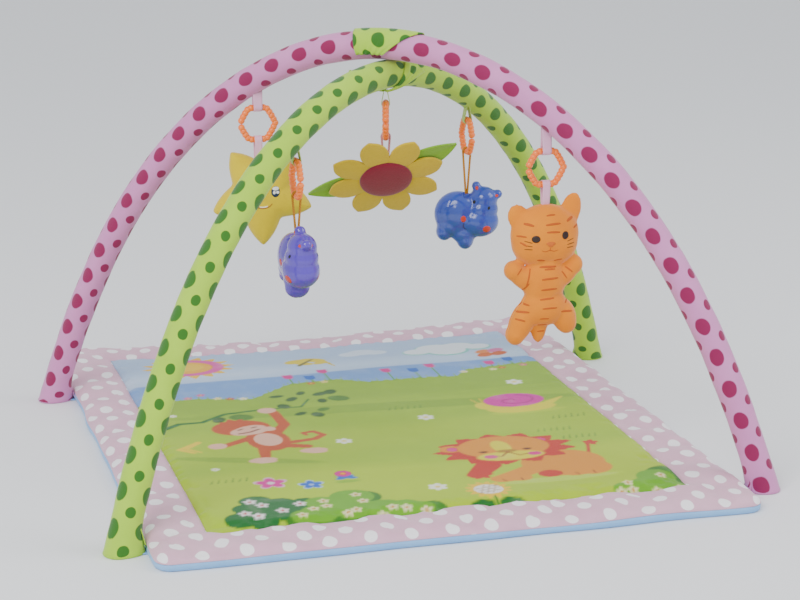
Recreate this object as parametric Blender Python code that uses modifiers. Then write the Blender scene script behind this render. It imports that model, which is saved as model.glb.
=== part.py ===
"""Activity play gym: a padded mat, two crossed fabric-covered arches and five hanging toys.

Frame: metres, +Z up, +Y to the back, +X to the right. The origin is on the floor, under the
centre of the footprint. Run it with: blender --background --python part.py
"""

from math import cos, pi, radians, sin, sqrt

import bmesh
import bpy
import numpy as np
from mathutils import Euler, Matrix, Vector

# ---------------------------------------------------------------- driving dimensions
GAP = 0.0003  # air left between pieces that touch

MAT_WIDTH = 0.760  # along X
MAT_DEPTH = 0.920  # along Y
MAT_THICKNESS = 0.017
BORDER_WIDTH = 0.073
FABRIC = 0.0012  # one sewn layer of the mat
BACKING_RIM = 0.009  # how far the backing turns up round the edge
MAT_CORNER = 0.012  # rounding of the mat's corners

ARCH_CENTRE_Y = -0.068  # the arches cross a little in front of the mat's centre
TUBE_RADIUS = 0.01875  # outside of the fabric sleeve
FOOT_SPACE = 0.01325  # from the mat's edge to a foot
FOOT_REACH_X = MAT_WIDTH / 2 + FOOT_SPACE + TUBE_RADIUS  # from the crossing to a foot's middle
FOOT_REACH_Y = 0.3165
PINK_APEX = 0.541  # centreline height at the crossing
CROSSING_GAP = 0.0010
GREEN_APEX = PINK_APEX - 2 * TUBE_RADIUS - CROSSING_GAP
ARCH_SHAPE = (0.765, 0.017, 0.218)  # shares of the 2nd, 4th and 6th powers in the fall
ARCH_STEPS = 20
SLEEVE_WALL = 0.0010
FERRULE_RADIUS = 0.0058
FERRULE_WALL = 0.0015
FERRULE_REACH = 0.055  # from the crossing to each end of the ferrule
ROD_RADIUS = 0.0036
ROD_MEET = 0.0012  # left between the two rods, in the ferrule
FOAM_FLOOR = 0.003  # foam stops this far above the floor
ROD_FLOOR = 0.006
TUBE_RESOLUTION = 3  # gives a tube ten sides

TAB_WIDTH = 0.022
TAB_MARGIN = 0.0006  # from a tab to the mat's edge and to the foot

RING_RADIUS = 0.0218  # to the middle of the wire
WIRE_RADIUS = 0.0033
RING_GAP = radians(24)  # the opening in the C, on the ring's side
RING_STEPS = 16
BAND_WIDTH = 0.012
BAND_THICKNESS = 0.0010
BAND_PLAY = 0.0021  # from a band to the wire that it goes round
CORD_RADIUS = 0.0010
RIBBON_TUCK = 0.0040  # cut back to the toy's skin, which it is sewn to

STAR_RADIUS = 0.072
STAR_WAIST = 0.039
STAR_HALF_DEPTH = 0.020
PLUSH = 0.0016  # pile fabric of the soft toys
PETAL_REACH = 0.076
PETAL_VALLEY = 0.046
PETAL_COUNT = 8
FELT = 0.0030
DISC_RADIUS = 0.035
DISC_HEIGHT = 0.006
LEAF_REACH = 0.106
LEAF_HALF_WIDTH = 0.019
HIPPO_WALL = 0.0016

APEX_BAND_WIDTH = 0.052
APEX_BAND_WALL = 0.0015

# ---------------------------------------------------------------- scene and materials
for old in list(bpy.data.objects):
    bpy.data.objects.remove(old, do_unlink=True)

gym = bpy.data.collections.new("activity_play_gym")
cutters = bpy.data.collections.new("cutters")
for collection in (gym, cutters):
    bpy.context.scene.collection.children.link(collection)


def finish(name, colour, roughness):
    material = bpy.data.materials.new(name)
    material.use_nodes = True
    shader = material.node_tree.nodes["Principled BSDF"]
    shader.inputs["Base Color"].default_value = (*colour, 1.0)
    shader.inputs["Roughness"].default_value = roughness
    shader.inputs["Metallic"].default_value = 0.0
    material.diffuse_color = (*colour, 1.0)
    return material


FINISHES = {
    "backing": finish("backing_cloth", (0.30, 0.55, 0.80), 0.9),
    "batting": finish("polyester_batting", (0.90, 0.90, 0.88), 1.0),
    "panel": finish("printed_panel", (0.42, 0.60, 0.14), 0.9),
    "border": finish("spotted_pink_cloth", (0.70, 0.40, 0.48), 0.9),
    "pink": finish("pink_sleeve_cloth", (0.62, 0.38, 0.58), 0.9),
    "green": finish("lime_sleeve_cloth", (0.56, 0.72, 0.15), 0.9),
    "foam": finish("white_foam", (0.92, 0.92, 0.90), 1.0),
    "rod": finish("white_rod", (0.85, 0.85, 0.82), 0.4),
    "ring": finish("orange_ring", (0.95, 0.22, 0.02), 0.35),
    "ribbon": finish("pink_ribbon", (0.85, 0.45, 0.52), 0.8),
    "cord": finish("ochre_cord", (0.75, 0.36, 0.04), 0.8),
    "star": finish("yellow_plush", (0.85, 0.72, 0.04), 1.0),
    "tiger": finish("orange_plush", (0.85, 0.38, 0.01), 1.0),
    "petal": finish("yellow_felt", (0.72, 0.56, 0.01), 1.0),
    "disc": finish("burgundy_felt", (0.20, 0.01, 0.03), 1.0),
    "leaf": finish("green_felt", (0.28, 0.46, 0.04), 1.0),
    "blue": finish("blue_gloss", (0.06, 0.09, 0.42), 0.2),
    "violet": finish("violet_gloss", (0.15, 0.06, 0.45), 0.2),
}


# ---------------------------------------------------------------- building tools
def place(obj, slot, parent=None, location=(0, 0, 0), rotation=(0, 0, 0)):
    """Puts an object in the gym's collection, under its parent, with its finish."""
    gym.objects.link(obj)
    obj.data.materials.clear()
    obj.data.materials.append(FINISHES[slot])
    obj.parent = parent
    obj.location = location
    obj.rotation_euler = rotation
    return obj


def pivot(name, location, rotation=(0, 0, 0), parent=None):
    """An empty on a joint's axis."""
    empty = bpy.data.objects.new(name, None)
    gym.objects.link(empty)
    empty.empty_display_size = 0.02
    empty.location = location
    empty.rotation_euler = rotation
    empty.parent = parent
    return empty


def cutter(obj):
    cutters.objects.link(obj)
    obj.hide_render = True
    obj.display_type = "WIRE"
    return obj


def mesh_object(name, build):
    """A mesh object from a function that fills a bmesh."""
    shape = bmesh.new()
    build(shape)
    bmesh.ops.recalc_face_normals(shape, faces=shape.faces)
    mesh = bpy.data.meshes.new(name)
    shape.to_mesh(mesh)
    shape.free()
    return bpy.data.objects.new(name, mesh)


def box_object(name, low, high, edge=0.0, missing_top=False):
    """A box between two corners, with its upright edges rounded by edge."""
    low, high = Vector(low), Vector(high)

    def build(shape):
        bmesh.ops.create_cube(shape, size=1.0)
        bmesh.ops.scale(shape, verts=shape.verts, vec=high - low)
        bmesh.ops.translate(shape, verts=shape.verts, vec=(high + low) / 2)
        if edge:
            upright = [e for e in shape.edges if abs(e.verts[0].co.z - e.verts[1].co.z) > 1e-6]
            bmesh.ops.bevel(
                shape, geom=upright, offset=edge, segments=4, affect="EDGES", profile=0.5
            )
        if missing_top:
            shape.faces.ensure_lookup_table()
            top = max(shape.faces, key=lambda face: face.calc_center_median().z)
            bmesh.ops.delete(shape, geom=[top], context="FACES_ONLY")

    return mesh_object(name, build)


def curve_tube(name, points, radius, resolution=TUBE_RESOLUTION, cyclic=False, caps=True):
    """A curve object that carries a round section along the points."""
    curve = bpy.data.curves.new(name, "CURVE")
    curve.dimensions = "3D"
    curve.bevel_depth = radius
    curve.bevel_resolution = resolution
    curve.use_fill_caps = caps
    spline = curve.splines.new("POLY")
    spline.points.add(len(points) - 1)
    for point, place_at in zip(spline.points, points):
        point.co = (*place_at, 1.0)
    spline.use_cyclic_u = cyclic
    return bpy.data.objects.new(name, curve)


def as_mesh(obj, weld=1e-5):
    """The evaluated object as a plain mesh object, with its loose caps welded."""
    bpy.context.scene.collection.objects.link(obj)
    bpy.context.view_layer.update()
    graph = bpy.context.evaluated_depsgraph_get()
    mesh = bpy.data.meshes.new_from_object(obj.evaluated_get(graph))
    name = obj.name
    matrix = obj.matrix_world.copy()
    bpy.data.objects.remove(obj, do_unlink=True)
    shape = bmesh.new()
    shape.from_mesh(mesh)
    bmesh.ops.remove_doubles(shape, verts=shape.verts, dist=weld)
    shape.to_mesh(mesh)
    shape.free()
    made = bpy.data.objects.new(name, mesh)
    made.name = name
    made.matrix_world = matrix
    return made


def solidify(obj, thickness, offset=-1.0):
    wall = obj.modifiers.new("wall", "SOLIDIFY")
    wall.thickness = thickness
    wall.offset = offset
    wall.use_even_offset = True
    return wall


def boolean(obj, other, operation="DIFFERENCE"):
    cut = obj.modifiers.new(operation.lower(), "BOOLEAN")
    cut.operation = operation
    cut.solver = "EXACT"
    cut.object = other
    return cut


def smooth(obj):
    obj.data.shade_smooth()
    return obj


# ---------------------------------------------------------------- mat
half_w, half_d = MAT_WIDTH / 2, MAT_DEPTH / 2


def make_mat():
    backing = box_object(
        "mat_backing", (-half_w, -half_d, 0), (half_w, half_d, BACKING_RIM), MAT_CORNER, True
    )
    place(backing, "backing")
    solidify(backing, FABRIC)

    inset = FABRIC + GAP
    top = MAT_THICKNESS - FABRIC - GAP
    place(
        box_object(
            "mat_batting",
            (-half_w + inset, -half_d + inset, inset),
            (half_w - inset, half_d - inset, top),
            MAT_CORNER - inset,
        ),
        "batting",
    )

    inner_w, inner_d = half_w - BORDER_WIDTH, half_d - BORDER_WIDTH
    low, high = MAT_THICKNESS - FABRIC, MAT_THICKNESS
    strips = {
        "mat_border_front": ((-half_w, -half_d), (half_w, -inner_d)),
        "mat_border_back": ((-half_w, inner_d), (half_w, half_d)),
        "mat_border_left": ((-half_w, -inner_d + GAP), (-inner_w, inner_d - GAP)),
        "mat_border_right": ((inner_w, -inner_d + GAP), (half_w, inner_d - GAP)),
    }
    for name, (near, far) in strips.items():
        place(box_object(name, (*near, low), (*far, high)), "border")
    place(
        box_object(
            "mat_panel",
            (-inner_w + GAP, -inner_d + GAP, low),
            (inner_w - GAP, inner_d - GAP, high),
        ),
        "panel",
    )


# ---------------------------------------------------------------- arches
def arch_height(apex, share):
    """Centreline height at a share of the way from the crossing to a foot."""
    a, b, c = ARCH_SHAPE
    return apex * (1.0 - a * share**2 - b * share**4 - c * share**6)


def arch_place(apex, side, share):
    """A point of the centreline. side is -1 for the pink arch and 1 for the green one."""
    return Vector(
        (FOOT_REACH_X * share, ARCH_CENTRE_Y + side * FOOT_REACH_Y * share, arch_height(apex, share))
    )


def arch_path(apex, side, low_share=-1.03, high_share=1.03, steps=ARCH_STEPS):
    """Points at even spacing along the centreline between two shares."""
    shares = np.linspace(low_share, high_share, 600)
    fine = np.array([arch_place(apex, side, share) for share in shares])
    run = np.concatenate([[0.0], np.cumsum(np.linalg.norm(np.diff(fine, axis=0), axis=1))])
    even = np.interp(np.linspace(0.0, run[-1], steps + 1), run, shares)
    return [arch_place(apex, side, share) for share in even]


def part_of_path(path, low, high):
    """The stretch of a path between two distances from its middle point, on its own chords."""
    steps = [(far - near).length for near, far in zip(path, path[1:])]
    marks = np.concatenate([[0.0], np.cumsum(steps)])
    marks -= marks[len(path) // 2]
    low, high = max(low, marks[0]), min(high, marks[-1])
    inside = [mark for mark in marks if low < mark < high]
    along = np.array([point[:] for point in path])
    wanted = [low, *inside, high]
    return [Vector([np.interp(mark, marks, along[:, i]) for i in range(3)]) for mark in wanted]


def floor_cutter(name, height):
    """A block whose top is the level at which an arch's pieces end."""
    reach = 2.0 * max(FOOT_REACH_X, FOOT_REACH_Y)
    return cutter(box_object(name, (-reach, -reach, -0.2), (reach, reach, height)))


def inner_radius(outer, wall, gap=GAP):
    """Radius of a tube that fits in a tube of the same number of sides."""
    sides = 4 + 2 * TUBE_RESOLUTION
    return outer - (wall + gap) / cos(pi / sides)


def make_arch(colour, apex, side, parent):
    """Sleeve, foam, two rods and the ferrule that joins them."""
    path = arch_path(apex, side)
    sleeve = as_mesh(curve_tube(f"{colour}_sleeve", path, TUBE_RADIUS, caps=False))
    place(smooth(sleeve), colour)
    solidify(sleeve, SLEEVE_WALL)
    boolean(sleeve, floor_sleeve)

    foam_radius = inner_radius(TUBE_RADIUS, SLEEVE_WALL)
    bore_radius = FERRULE_RADIUS + GAP
    sides = 4 + 2 * TUBE_RESOLUTION
    foam = as_mesh(curve_tube(f"{colour}_foam", path, foam_radius, caps=False))
    place(smooth(foam), "foam")
    solidify(foam, (foam_radius - bore_radius) * cos(pi / sides))
    boolean(foam, floor_foam)

    joined = part_of_path(path, -FERRULE_REACH, FERRULE_REACH)
    ferrule = as_mesh(curve_tube(f"{colour}_ferrule", joined, FERRULE_RADIUS, caps=False))
    place(smooth(ferrule), "rod")
    solidify(ferrule, FERRULE_WALL)
    for end, low, high in (("left", -2.0, -ROD_MEET / 2), ("right", ROD_MEET / 2, 2.0)):
        route = part_of_path(path, low, high)
        rod = as_mesh(curve_tube(f"{colour}_rod_{end}", route, ROD_RADIUS))
        place(smooth(rod), "rod")
        boolean(rod, floor_rod)
    for piece in gym.objects:
        if piece.name.startswith(f"{colour}_") and piece.type == "MESH":
            hold(piece, parent)


def hold(piece, parent):
    """Parents a piece that was built in place, without moving it."""
    piece.parent = parent
    piece.matrix_parent_inverse = parent_matrix(parent).inverted()


def parent_matrix(empty):
    """World matrix of an empty from its own values and its parents'."""
    matrix = Matrix.LocRotScale(empty.location, empty.rotation_euler, None)
    return parent_matrix(empty.parent) @ matrix if empty.parent else matrix


# ---------------------------------------------------------------- foot fastenings
FEET = {
    "front_left": (-1, -1, "green"),
    "back_right": (1, 1, "green"),
    "front_right": (1, -1, "pink"),
    "back_left": (-1, 1, "pink"),
}


def make_fastenings(parents):
    """A hook-and-loop tab sewn to the mat and a tongue sewn to each sleeve, one on the other."""
    lean = FOOT_REACH_X * TUBE_RADIUS / sqrt(FOOT_REACH_X**2 + FOOT_REACH_Y**2)
    foot_inside = FOOT_REACH_X - 1.07 * TUBE_RADIUS - 0.1 * lean
    for name, (x_side, y_side, colour) in FEET.items():
        y = ARCH_CENTRE_Y + y_side * FOOT_REACH_Y
        spans = (
            (f"mat_tab_{name}", "backing", 0.0, half_w + GAP, foot_inside - 2 * TAB_MARGIN),
            (
                f"{colour}_tongue_{name}",
                colour,
                FABRIC + GAP,
                half_w + TAB_MARGIN,
                foot_inside - TAB_MARGIN,
            ),
        )
        for node, slot, z, near, far in spans:
            low_x, high_x = sorted((x_side * near, x_side * far))
            piece = box_object(
                node,
                (low_x, y - TAB_WIDTH / 2, z),
                (high_x, y + TAB_WIDTH / 2, z + FABRIC),
            )
            place(piece, slot)
            if slot == colour:
                hold(piece, parents[colour])


# ---------------------------------------------------------------- rings, bands and cords
def ring_points():
    """Middle line of the open ring in its own XZ plane, its gap on the -X side."""
    low, high = -pi + RING_GAP / 2, pi - RING_GAP / 2
    turns = np.linspace(low, high, RING_STEPS + 1)
    return [(RING_RADIUS * cos(t), 0.0, RING_RADIUS * sin(t)) for t in turns]


def band_loop(name, top, bottom, closed_end):
    """A flat band that goes round a wire: two legs along Z and a half circle at one end.

    top and bottom are the heights of its two ends, closed_end is the wire's own height.
    """
    turn = WIRE_RADIUS + BAND_PLAY + BAND_THICKNESS
    up = closed_end == bottom
    open_end = top if up else bottom
    way = 1.0 if up else -1.0
    profile = [(turn, open_end), (turn, closed_end)]
    for step in range(1, 8):
        angle = pi * step / 8
        profile.append((turn * cos(angle), closed_end - way * turn * sin(angle)))
    profile += [(-turn, closed_end), (-turn, open_end)]

    def build(shape):
        rows = []
        for x in (-BAND_WIDTH / 2, BAND_WIDTH / 2):
            rows.append([shape.verts.new((x, y, z)) for y, z in profile])
        for i in range(len(profile) - 1):
            shape.faces.new((rows[0][i], rows[0][i + 1], rows[1][i + 1], rows[1][i]))

    obj = mesh_object(name, build)
    # The wall grows inwards, so the band stays BAND_PLAY clear of the wire.
    first = obj.data.polygons[0]
    inward = -1.0 if first.normal.y > 0 else 1.0
    solidify(obj, BAND_THICKNESS, inward)
    return obj


def cord_loop(name, top, bottom, spread, pinch):
    """A closed loop of cord: round the ring's wire at the top, and pinched where it is held."""
    points = []
    for step in range(7):
        angle = pi * step / 6
        points.append((0.0, spread * cos(angle), top + spread * sin(angle)))
    for step in range(5):
        angle = pi + pi * step / 4
        points.append((0.0, pinch * cos(angle), bottom + pinch * sin(angle)))
    return curve_tube(name, points, CORD_RADIUS, resolution=1, cyclic=True)


class Hanger:
    """One hanging place: strap, ring and the two pivots that its toy swings on.

    strap is the length that shows between the arch's underside and the ring's wire.
    """

    def __init__(self, toy, colour, apex, side, share, strap, yaw, parent):
        line = arch_place(apex, side, share)
        self.toy = toy
        wire = line.z - TUBE_RADIUS - strap
        self.swing = pivot(
            f"{toy}_ring_pivot", Vector((line.x, line.y, wire)) - origin_of(parent), (0, 0, yaw), parent
        )
        strap = band_loop(f"{toy}_strap", line.z - wire, 0.0, 0.0)
        place(strap, colour, None, (line.x, line.y, wire), (0, 0, yaw))
        hold(strap, parent)
        boolean(strap, arch_cutters[colour])
        place(
            curve_tube(f"{toy}_ring", ring_points(), WIRE_RADIUS, resolution=2),
            "ring",
            self.swing,
            (0, 0, -RING_RADIUS),
        )
        self.sway = pivot(f"{toy}_sway_pivot", (0, 0, -RING_RADIUS), parent=self.swing)

    def ribbon(self, bottom):
        band = band_loop(f"{self.toy}_ribbon", -RING_RADIUS, bottom, -RING_RADIUS)
        return place(band, "ribbon", self.sway)

    def cord(self, bottom, slot, spread, pinch):
        loop = cord_loop(f"{self.toy}_cord", -RING_RADIUS, bottom, spread, pinch)
        return place(loop, slot, self.sway)


def origin_of(empty):
    return parent_matrix(empty).to_translation()


# ---------------------------------------------------------------- soft and moulded bodies
def ellipsoid(name, centre, radii, turn=0.0, segments=10, rings=5):
    """A squashed sphere with its poles along Y, turned in the XZ plane."""

    def build(shape):
        bmesh.ops.create_uvsphere(shape, u_segments=segments, v_segments=rings, radius=1.0)
        matrix = (
            Matrix.Translation(centre)
            @ Matrix.Rotation(turn, 4, "Y")
            @ Matrix.Diagonal((*radii, 1.0))
            @ Matrix.Rotation(radians(90), 4, "X")
        )
        bmesh.ops.transform(shape, matrix=matrix, verts=shape.verts)

    return mesh_object(name, build)


def blob(name, lumps, shrink=0.0):
    """One solid from several ellipsoids, each made smaller all round by shrink."""
    whole = None
    for index, (centre, radii, turn) in enumerate(lumps):
        part = ellipsoid(f"{name}_{index}", centre, [r - shrink for r in radii], turn)
        if whole is None:
            whole = part
            whole.name = name
            continue
        cutter(part)
        boolean(whole, part, "UNION")
    mesh = as_mesh(whole)
    mesh.name = name
    return mesh


def half_space(name, axis, side, reach=0.3):
    """A block that fills one side of a plane through the origin, GAP / 2 away from it."""
    low, high = Vector((-reach,) * 3), Vector((reach,) * 3)
    if side > 0:
        low[axis] = GAP / 2
    else:
        high[axis] = -GAP / 2
    return box_object(name, low, high)


def split_shell(names, outer, hollow, axis, slot, parent, holes=()):
    """Two half shells that meet on the plane across axis.

    outer and hollow make the solid that the shell fills and the space inside it.
    """
    for name, side in zip(names, (-1, 1)):
        shell = outer(name)
        place(shell, slot, parent)
        space = cutter(hollow(f"{name}_hollow"))
        keep = cutter(half_space(f"{name}_side", axis, side))
        for tool in (space, keep):
            tool.parent = parent
        boolean(shell, space)
        boolean(shell, keep, "INTERSECT")
        for index, (centre, radius, depth) in enumerate(holes):
            tool = cutter(hole_cutter(f"{name}_hole_{index}", centre, radius, depth))
            tool.parent = parent
            boolean(shell, tool)


def hole_cutter(name, centre, radius, depth):
    def build(shape):
        bmesh.ops.create_cone(
            shape, cap_ends=True, segments=12, radius1=radius, radius2=radius, depth=depth
        )
        bmesh.ops.translate(shape, verts=shape.verts, vec=centre)

    return mesh_object(name, build)


def star_outline(radius, waist, points_each=4):
    """Outline of a soft five-pointed star with one point down, as distances by angle."""
    outline = []
    count = 5 * 2 * points_each
    for step in range(count):
        angle = 2 * pi * step / count
        fold = abs(((angle / (2 * pi) * 5) % 1.0) * 2.0 - 1.0)
        reach = waist + (radius - waist) * (fold**1.35)
        outline.append((angle - pi / 2, reach))
    return outline


def pillow(name, outline, depth):
    """A stuffed form over a star-shaped outline in the XZ plane, domed to both sides."""
    levels = (0.90, 0.66, 0.36)

    def build(shape):
        def ring(level, y):
            return [
                shape.verts.new((reach * level * cos(a), y, reach * level * sin(a)))
                for a, reach in outline
            ]

        def rise(level):
            return depth * sqrt(1.0 - level**2.4)

        rows = [ring(level, -rise(level)) for level in reversed(levels)]
        rows.append(ring(1.0, 0.0))
        rows += [ring(level, rise(level)) for level in levels]
        count = len(outline)
        for i in range(count):
            j = (i + 1) % count
            for lower, upper in zip(rows, rows[1:]):
                shape.faces.new((lower[i], lower[j], upper[j], upper[i]))
        for row, y in ((rows[0], -depth), (rows[-1], depth)):
            tip = shape.verts.new((0.0, y, 0.0))
            for i in range(count):
                shape.faces.new((row[i], row[(i + 1) % count], tip))

    return mesh_object(name, build)


def flat_piece(name, outline, thickness):
    """A flat outline extruded to half its thickness each way, in its own XY plane."""
    curve = bpy.data.curves.new(name, "CURVE")
    curve.dimensions = "2D"
    curve.fill_mode = "BOTH"
    curve.extrude = thickness / 2
    spline = curve.splines.new("POLY")
    spline.points.add(len(outline) - 1)
    for point, (x, y) in zip(spline.points, outline):
        point.co = (x, y, 0.0, 1.0)
    spline.use_cyclic_u = True
    return bpy.data.objects.new(name, curve)


# ---------------------------------------------------------------- the assembly
make_mat()

floor_sleeve = floor_cutter("floor_under_sleeves", 0.0)
floor_foam = floor_cutter("floor_under_foam", FOAM_FLOOR)
floor_rod = floor_cutter("floor_under_rods", ROD_FLOOR)

lift = pivot("arches_lift", (0, ARCH_CENTRE_Y, 0))
scissor = pivot("arches_scissor", (0, 0, GREEN_APEX), parent=lift)
make_arch("pink", PINK_APEX, -1, lift)
make_arch("green", GREEN_APEX, 1, scissor)
make_fastenings({"pink": lift, "green": scissor})

arch_cutters = {}
for colour, apex, side in (("pink", PINK_APEX, -1), ("green", GREEN_APEX, 1)):
    arch_cutters[colour] = cutter(
        as_mesh(curve_tube(f"{colour}_clearance", arch_path(apex, side), TUBE_RADIUS + GAP))
    )


def make_apex_band():
    """The spotted band that holds the pink arch down on the green one."""
    radius = TUBE_RADIUS + GAP + APEX_BAND_WALL
    skirt = PINK_APEX - GREEN_APEX - TUBE_RADIUS - 2 * GAP
    profile = [(radius, -skirt)]
    for step in range(13):
        angle = pi * step / 12
        profile.append((radius * cos(angle), radius * sin(angle)))
    profile.append((-radius, -skirt))

    def build(shape):
        rows = []
        for x in (-APEX_BAND_WIDTH / 2, 0.0, APEX_BAND_WIDTH / 2):
            share = x / sqrt(FOOT_REACH_X**2 + FOOT_REACH_Y**2)
            drop = PINK_APEX - arch_height(PINK_APEX, share)
            rows.append([shape.verts.new((x, y, z - drop)) for y, z in profile])
        for near, far in zip(rows, rows[1:]):
            for i in range(len(profile) - 1):
                shape.faces.new((near[i], far[i], far[i + 1], near[i + 1]))

    band = mesh_object("apex_band", build)
    top = max(band.data.polygons, key=lambda face: face.center.z)
    if top.normal.z < 0:
        band.data.flip_normals()
    heading = -np.arctan2(FOOT_REACH_Y, FOOT_REACH_X)
    place(band, "green", None, (0, ARCH_CENTRE_Y, PINK_APEX), (0, 0, heading))
    hold(band, lift)
    solidify(band, APEX_BAND_WALL)
    boolean(band, arch_cutters["pink"])
    boolean(band, arch_cutters["green"])


make_apex_band()

PINK = ("pink", PINK_APEX, -1)
GREEN = ("green", GREEN_APEX, 1)


# ---------------------------------------------------------------- star
star = Hanger("star", *PINK, -0.356, 0.02191, 0.0, lift)
STAR_DROP = 0.0960  # from the ring's middle to the star's


def make_star():
    crotch = -STAR_DROP + STAR_WAIST
    ribbon = star.ribbon(crotch - RIBBON_TUCK)
    middle = pivot("star_middle", (0, 0, -STAR_DROP), parent=star.sway)

    def form(name, inset):
        outline = star_outline(STAR_RADIUS - 2.4 * inset, STAR_WAIST - 1.3 * inset)
        return pillow(name, outline, STAR_HALF_DEPTH - inset)

    def outer(name):
        return form(name, 0.0)

    def hollow(name):
        return form(name, PLUSH)

    split_shell(("star_front", "star_back"), outer, hollow, 1, "star", middle)
    place(form("star_filling", PLUSH + 2 * GAP), "batting", middle)
    keep_out = cutter(form("star_clearance", -2 * GAP))
    keep_out.parent = middle
    boolean(ribbon, keep_out)


make_star()


# ---------------------------------------------------------------- tiger cub
tiger = Hanger("tiger", *PINK, 0.424, 0.02966, 0.0, lift)
TIGER_BODY = (
    ((0.000, 0.0, -0.0870), (0.0400, 0.0240, 0.0375), 0.0),  # head
    ((0.000, 0.0, -0.1580), (0.0290, 0.0200, 0.0430), 0.0),  # trunk
    ((-0.0335, 0.0, -0.1395), (0.0210, 0.0130, 0.0140), radians(25)),  # arms
    ((0.0335, 0.0, -0.1395), (0.0210, 0.0130, 0.0140), radians(-25)),
    ((-0.0275, 0.0, -0.2020), (0.0160, 0.0145, 0.0290), radians(20)),  # legs
    ((0.0275, 0.0, -0.2020), (0.0160, 0.0145, 0.0290), radians(-20)),
)


def make_tiger():
    head, radii, _ = TIGER_BODY[0]
    ribbon = tiger.ribbon(head[2] + radii[2] - RIBBON_TUCK)

    def outer(name):
        return blob(name, TIGER_BODY)

    def hollow(name):
        return blob(name, TIGER_BODY, PLUSH)

    split_shell(("tiger_front", "tiger_back"), outer, hollow, 1, "tiger", tiger.sway)
    filling = blob("tiger_filling", TIGER_BODY, PLUSH + 2.5 * GAP)
    place(filling, "batting", tiger.sway)
    keep_out = cutter(blob("tiger_clearance", TIGER_BODY, -GAP))
    keep_out.parent = tiger.sway
    boolean(ribbon, keep_out)
    for name, side in (("tiger_ear_left", -1), ("tiger_ear_right", 1)):
        ear = ellipsoid(
            name, (side * 0.0300, 0.0, -0.0520), (0.0125, 0.0060, 0.0185), side * radians(28)
        )
        place(ear, "tiger", tiger.sway)
        boolean(ear, keep_out)
    tail = ellipsoid("tiger_tail", (-0.001, 0.0, -0.2040), (0.0085, 0.0070, 0.0240))
    place(tail, "tiger", tiger.sway)
    boolean(tail, keep_out)


make_tiger()


# ---------------------------------------------------------------- hippo rattles
HIPPO = (
    ((-0.0160, 0.0, -0.0010), (0.0330, 0.0225, 0.0320), 0.0),  # body
    ((0.0187, 0.0, 0.0200), (0.0195, 0.0190, 0.0180), 0.0),  # head
    ((0.0115, 0.0, -0.0099), (0.0290, 0.0245, 0.0232), 0.0),  # muzzle
    ((-0.0065, 0.0, -0.0370), (0.0125, 0.0180, 0.0145), 0.0),  # front foot
    ((-0.0350, 0.0, -0.0250), (0.0120, 0.0170, 0.0130), 0.0),  # hind foot
)
HIPPO_EARS = (
    ((0.0095, 0.0, 0.0375), (0.0052, 0.0060, 0.0058), 0.0),
    ((0.0375, 0.0, 0.0265), (0.0058, 0.0060, 0.0052), 0.0),
)
HIPPO_HOLE = (-0.0045, 0.0, 0.0280)


def make_hippo(toy, slot, share, strap, drop, heading):
    hanger = Hanger(toy, *GREEN, share, strap, radians(90), scissor)
    hanger.cord(drop + HIPPO_HOLE[2] + 0.0030, "cord", WIRE_RADIUS + 2 * CORD_RADIUS, 0.0013)
    # The rattle hangs by the hole in its seam, so the hole lies under the ring.
    turned = Euler((0, 0, heading - radians(90))).to_matrix() @ Vector((HIPPO_HOLE[0], 0, 0))
    frame = pivot(
        f"{toy}_frame",
        Vector((0, 0, drop)) - turned,
        (0, 0, heading - radians(90)),
        hanger.sway,
    )
    holes = (((HIPPO_HOLE[0], 0.0, HIPPO_HOLE[2]), 0.0032, 0.02),)
    names = (f"{toy}_shell_right", f"{toy}_shell_left")

    def outer(name):
        return blob(name, HIPPO + HIPPO_EARS)

    def hollow(name):
        return blob(name, HIPPO, HIPPO_WALL)

    split_shell(names, outer, hollow, 1, slot, frame, holes)


make_hippo("violet_hippo", "violet", -0.3560, 0.01837, -0.1025, radians(-88))
make_hippo("blue_hippo", "blue", 0.3570, 0.01809, -0.1090, radians(-16))


# ---------------------------------------------------------------- flower
flower = Hanger("flower", *GREEN, 0.0, 0.01955, radians(74.2), scissor)
FLOWER_DROP = 0.0774
FLOWER_FACE = -41  # elevation of the way that its face looks, in degrees
FLOWER_HEADING = -5.8


def petal_outline():
    outline = []
    steps = 6
    for petal in range(PETAL_COUNT):
        start = 2 * pi * petal / PETAL_COUNT
        for step in range(steps):
            part = step / steps
            reach = PETAL_VALLEY + (PETAL_REACH - PETAL_VALLEY) * sin(pi * part) ** 0.6
            angle = start + 2 * pi / PETAL_COUNT * part
            outline.append((reach * cos(angle), reach * sin(angle)))
    return outline


def leaf_outline(root, tip, half_width):
    outline = []
    for step in range(7):
        part = step / 6
        outline.append((root + (tip - root) * part, half_width * sin(pi * (0.15 + 0.85 * part))))
    lower = [(x, -y) for x, y in reversed(outline[:-1])]
    return outline + lower


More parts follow.
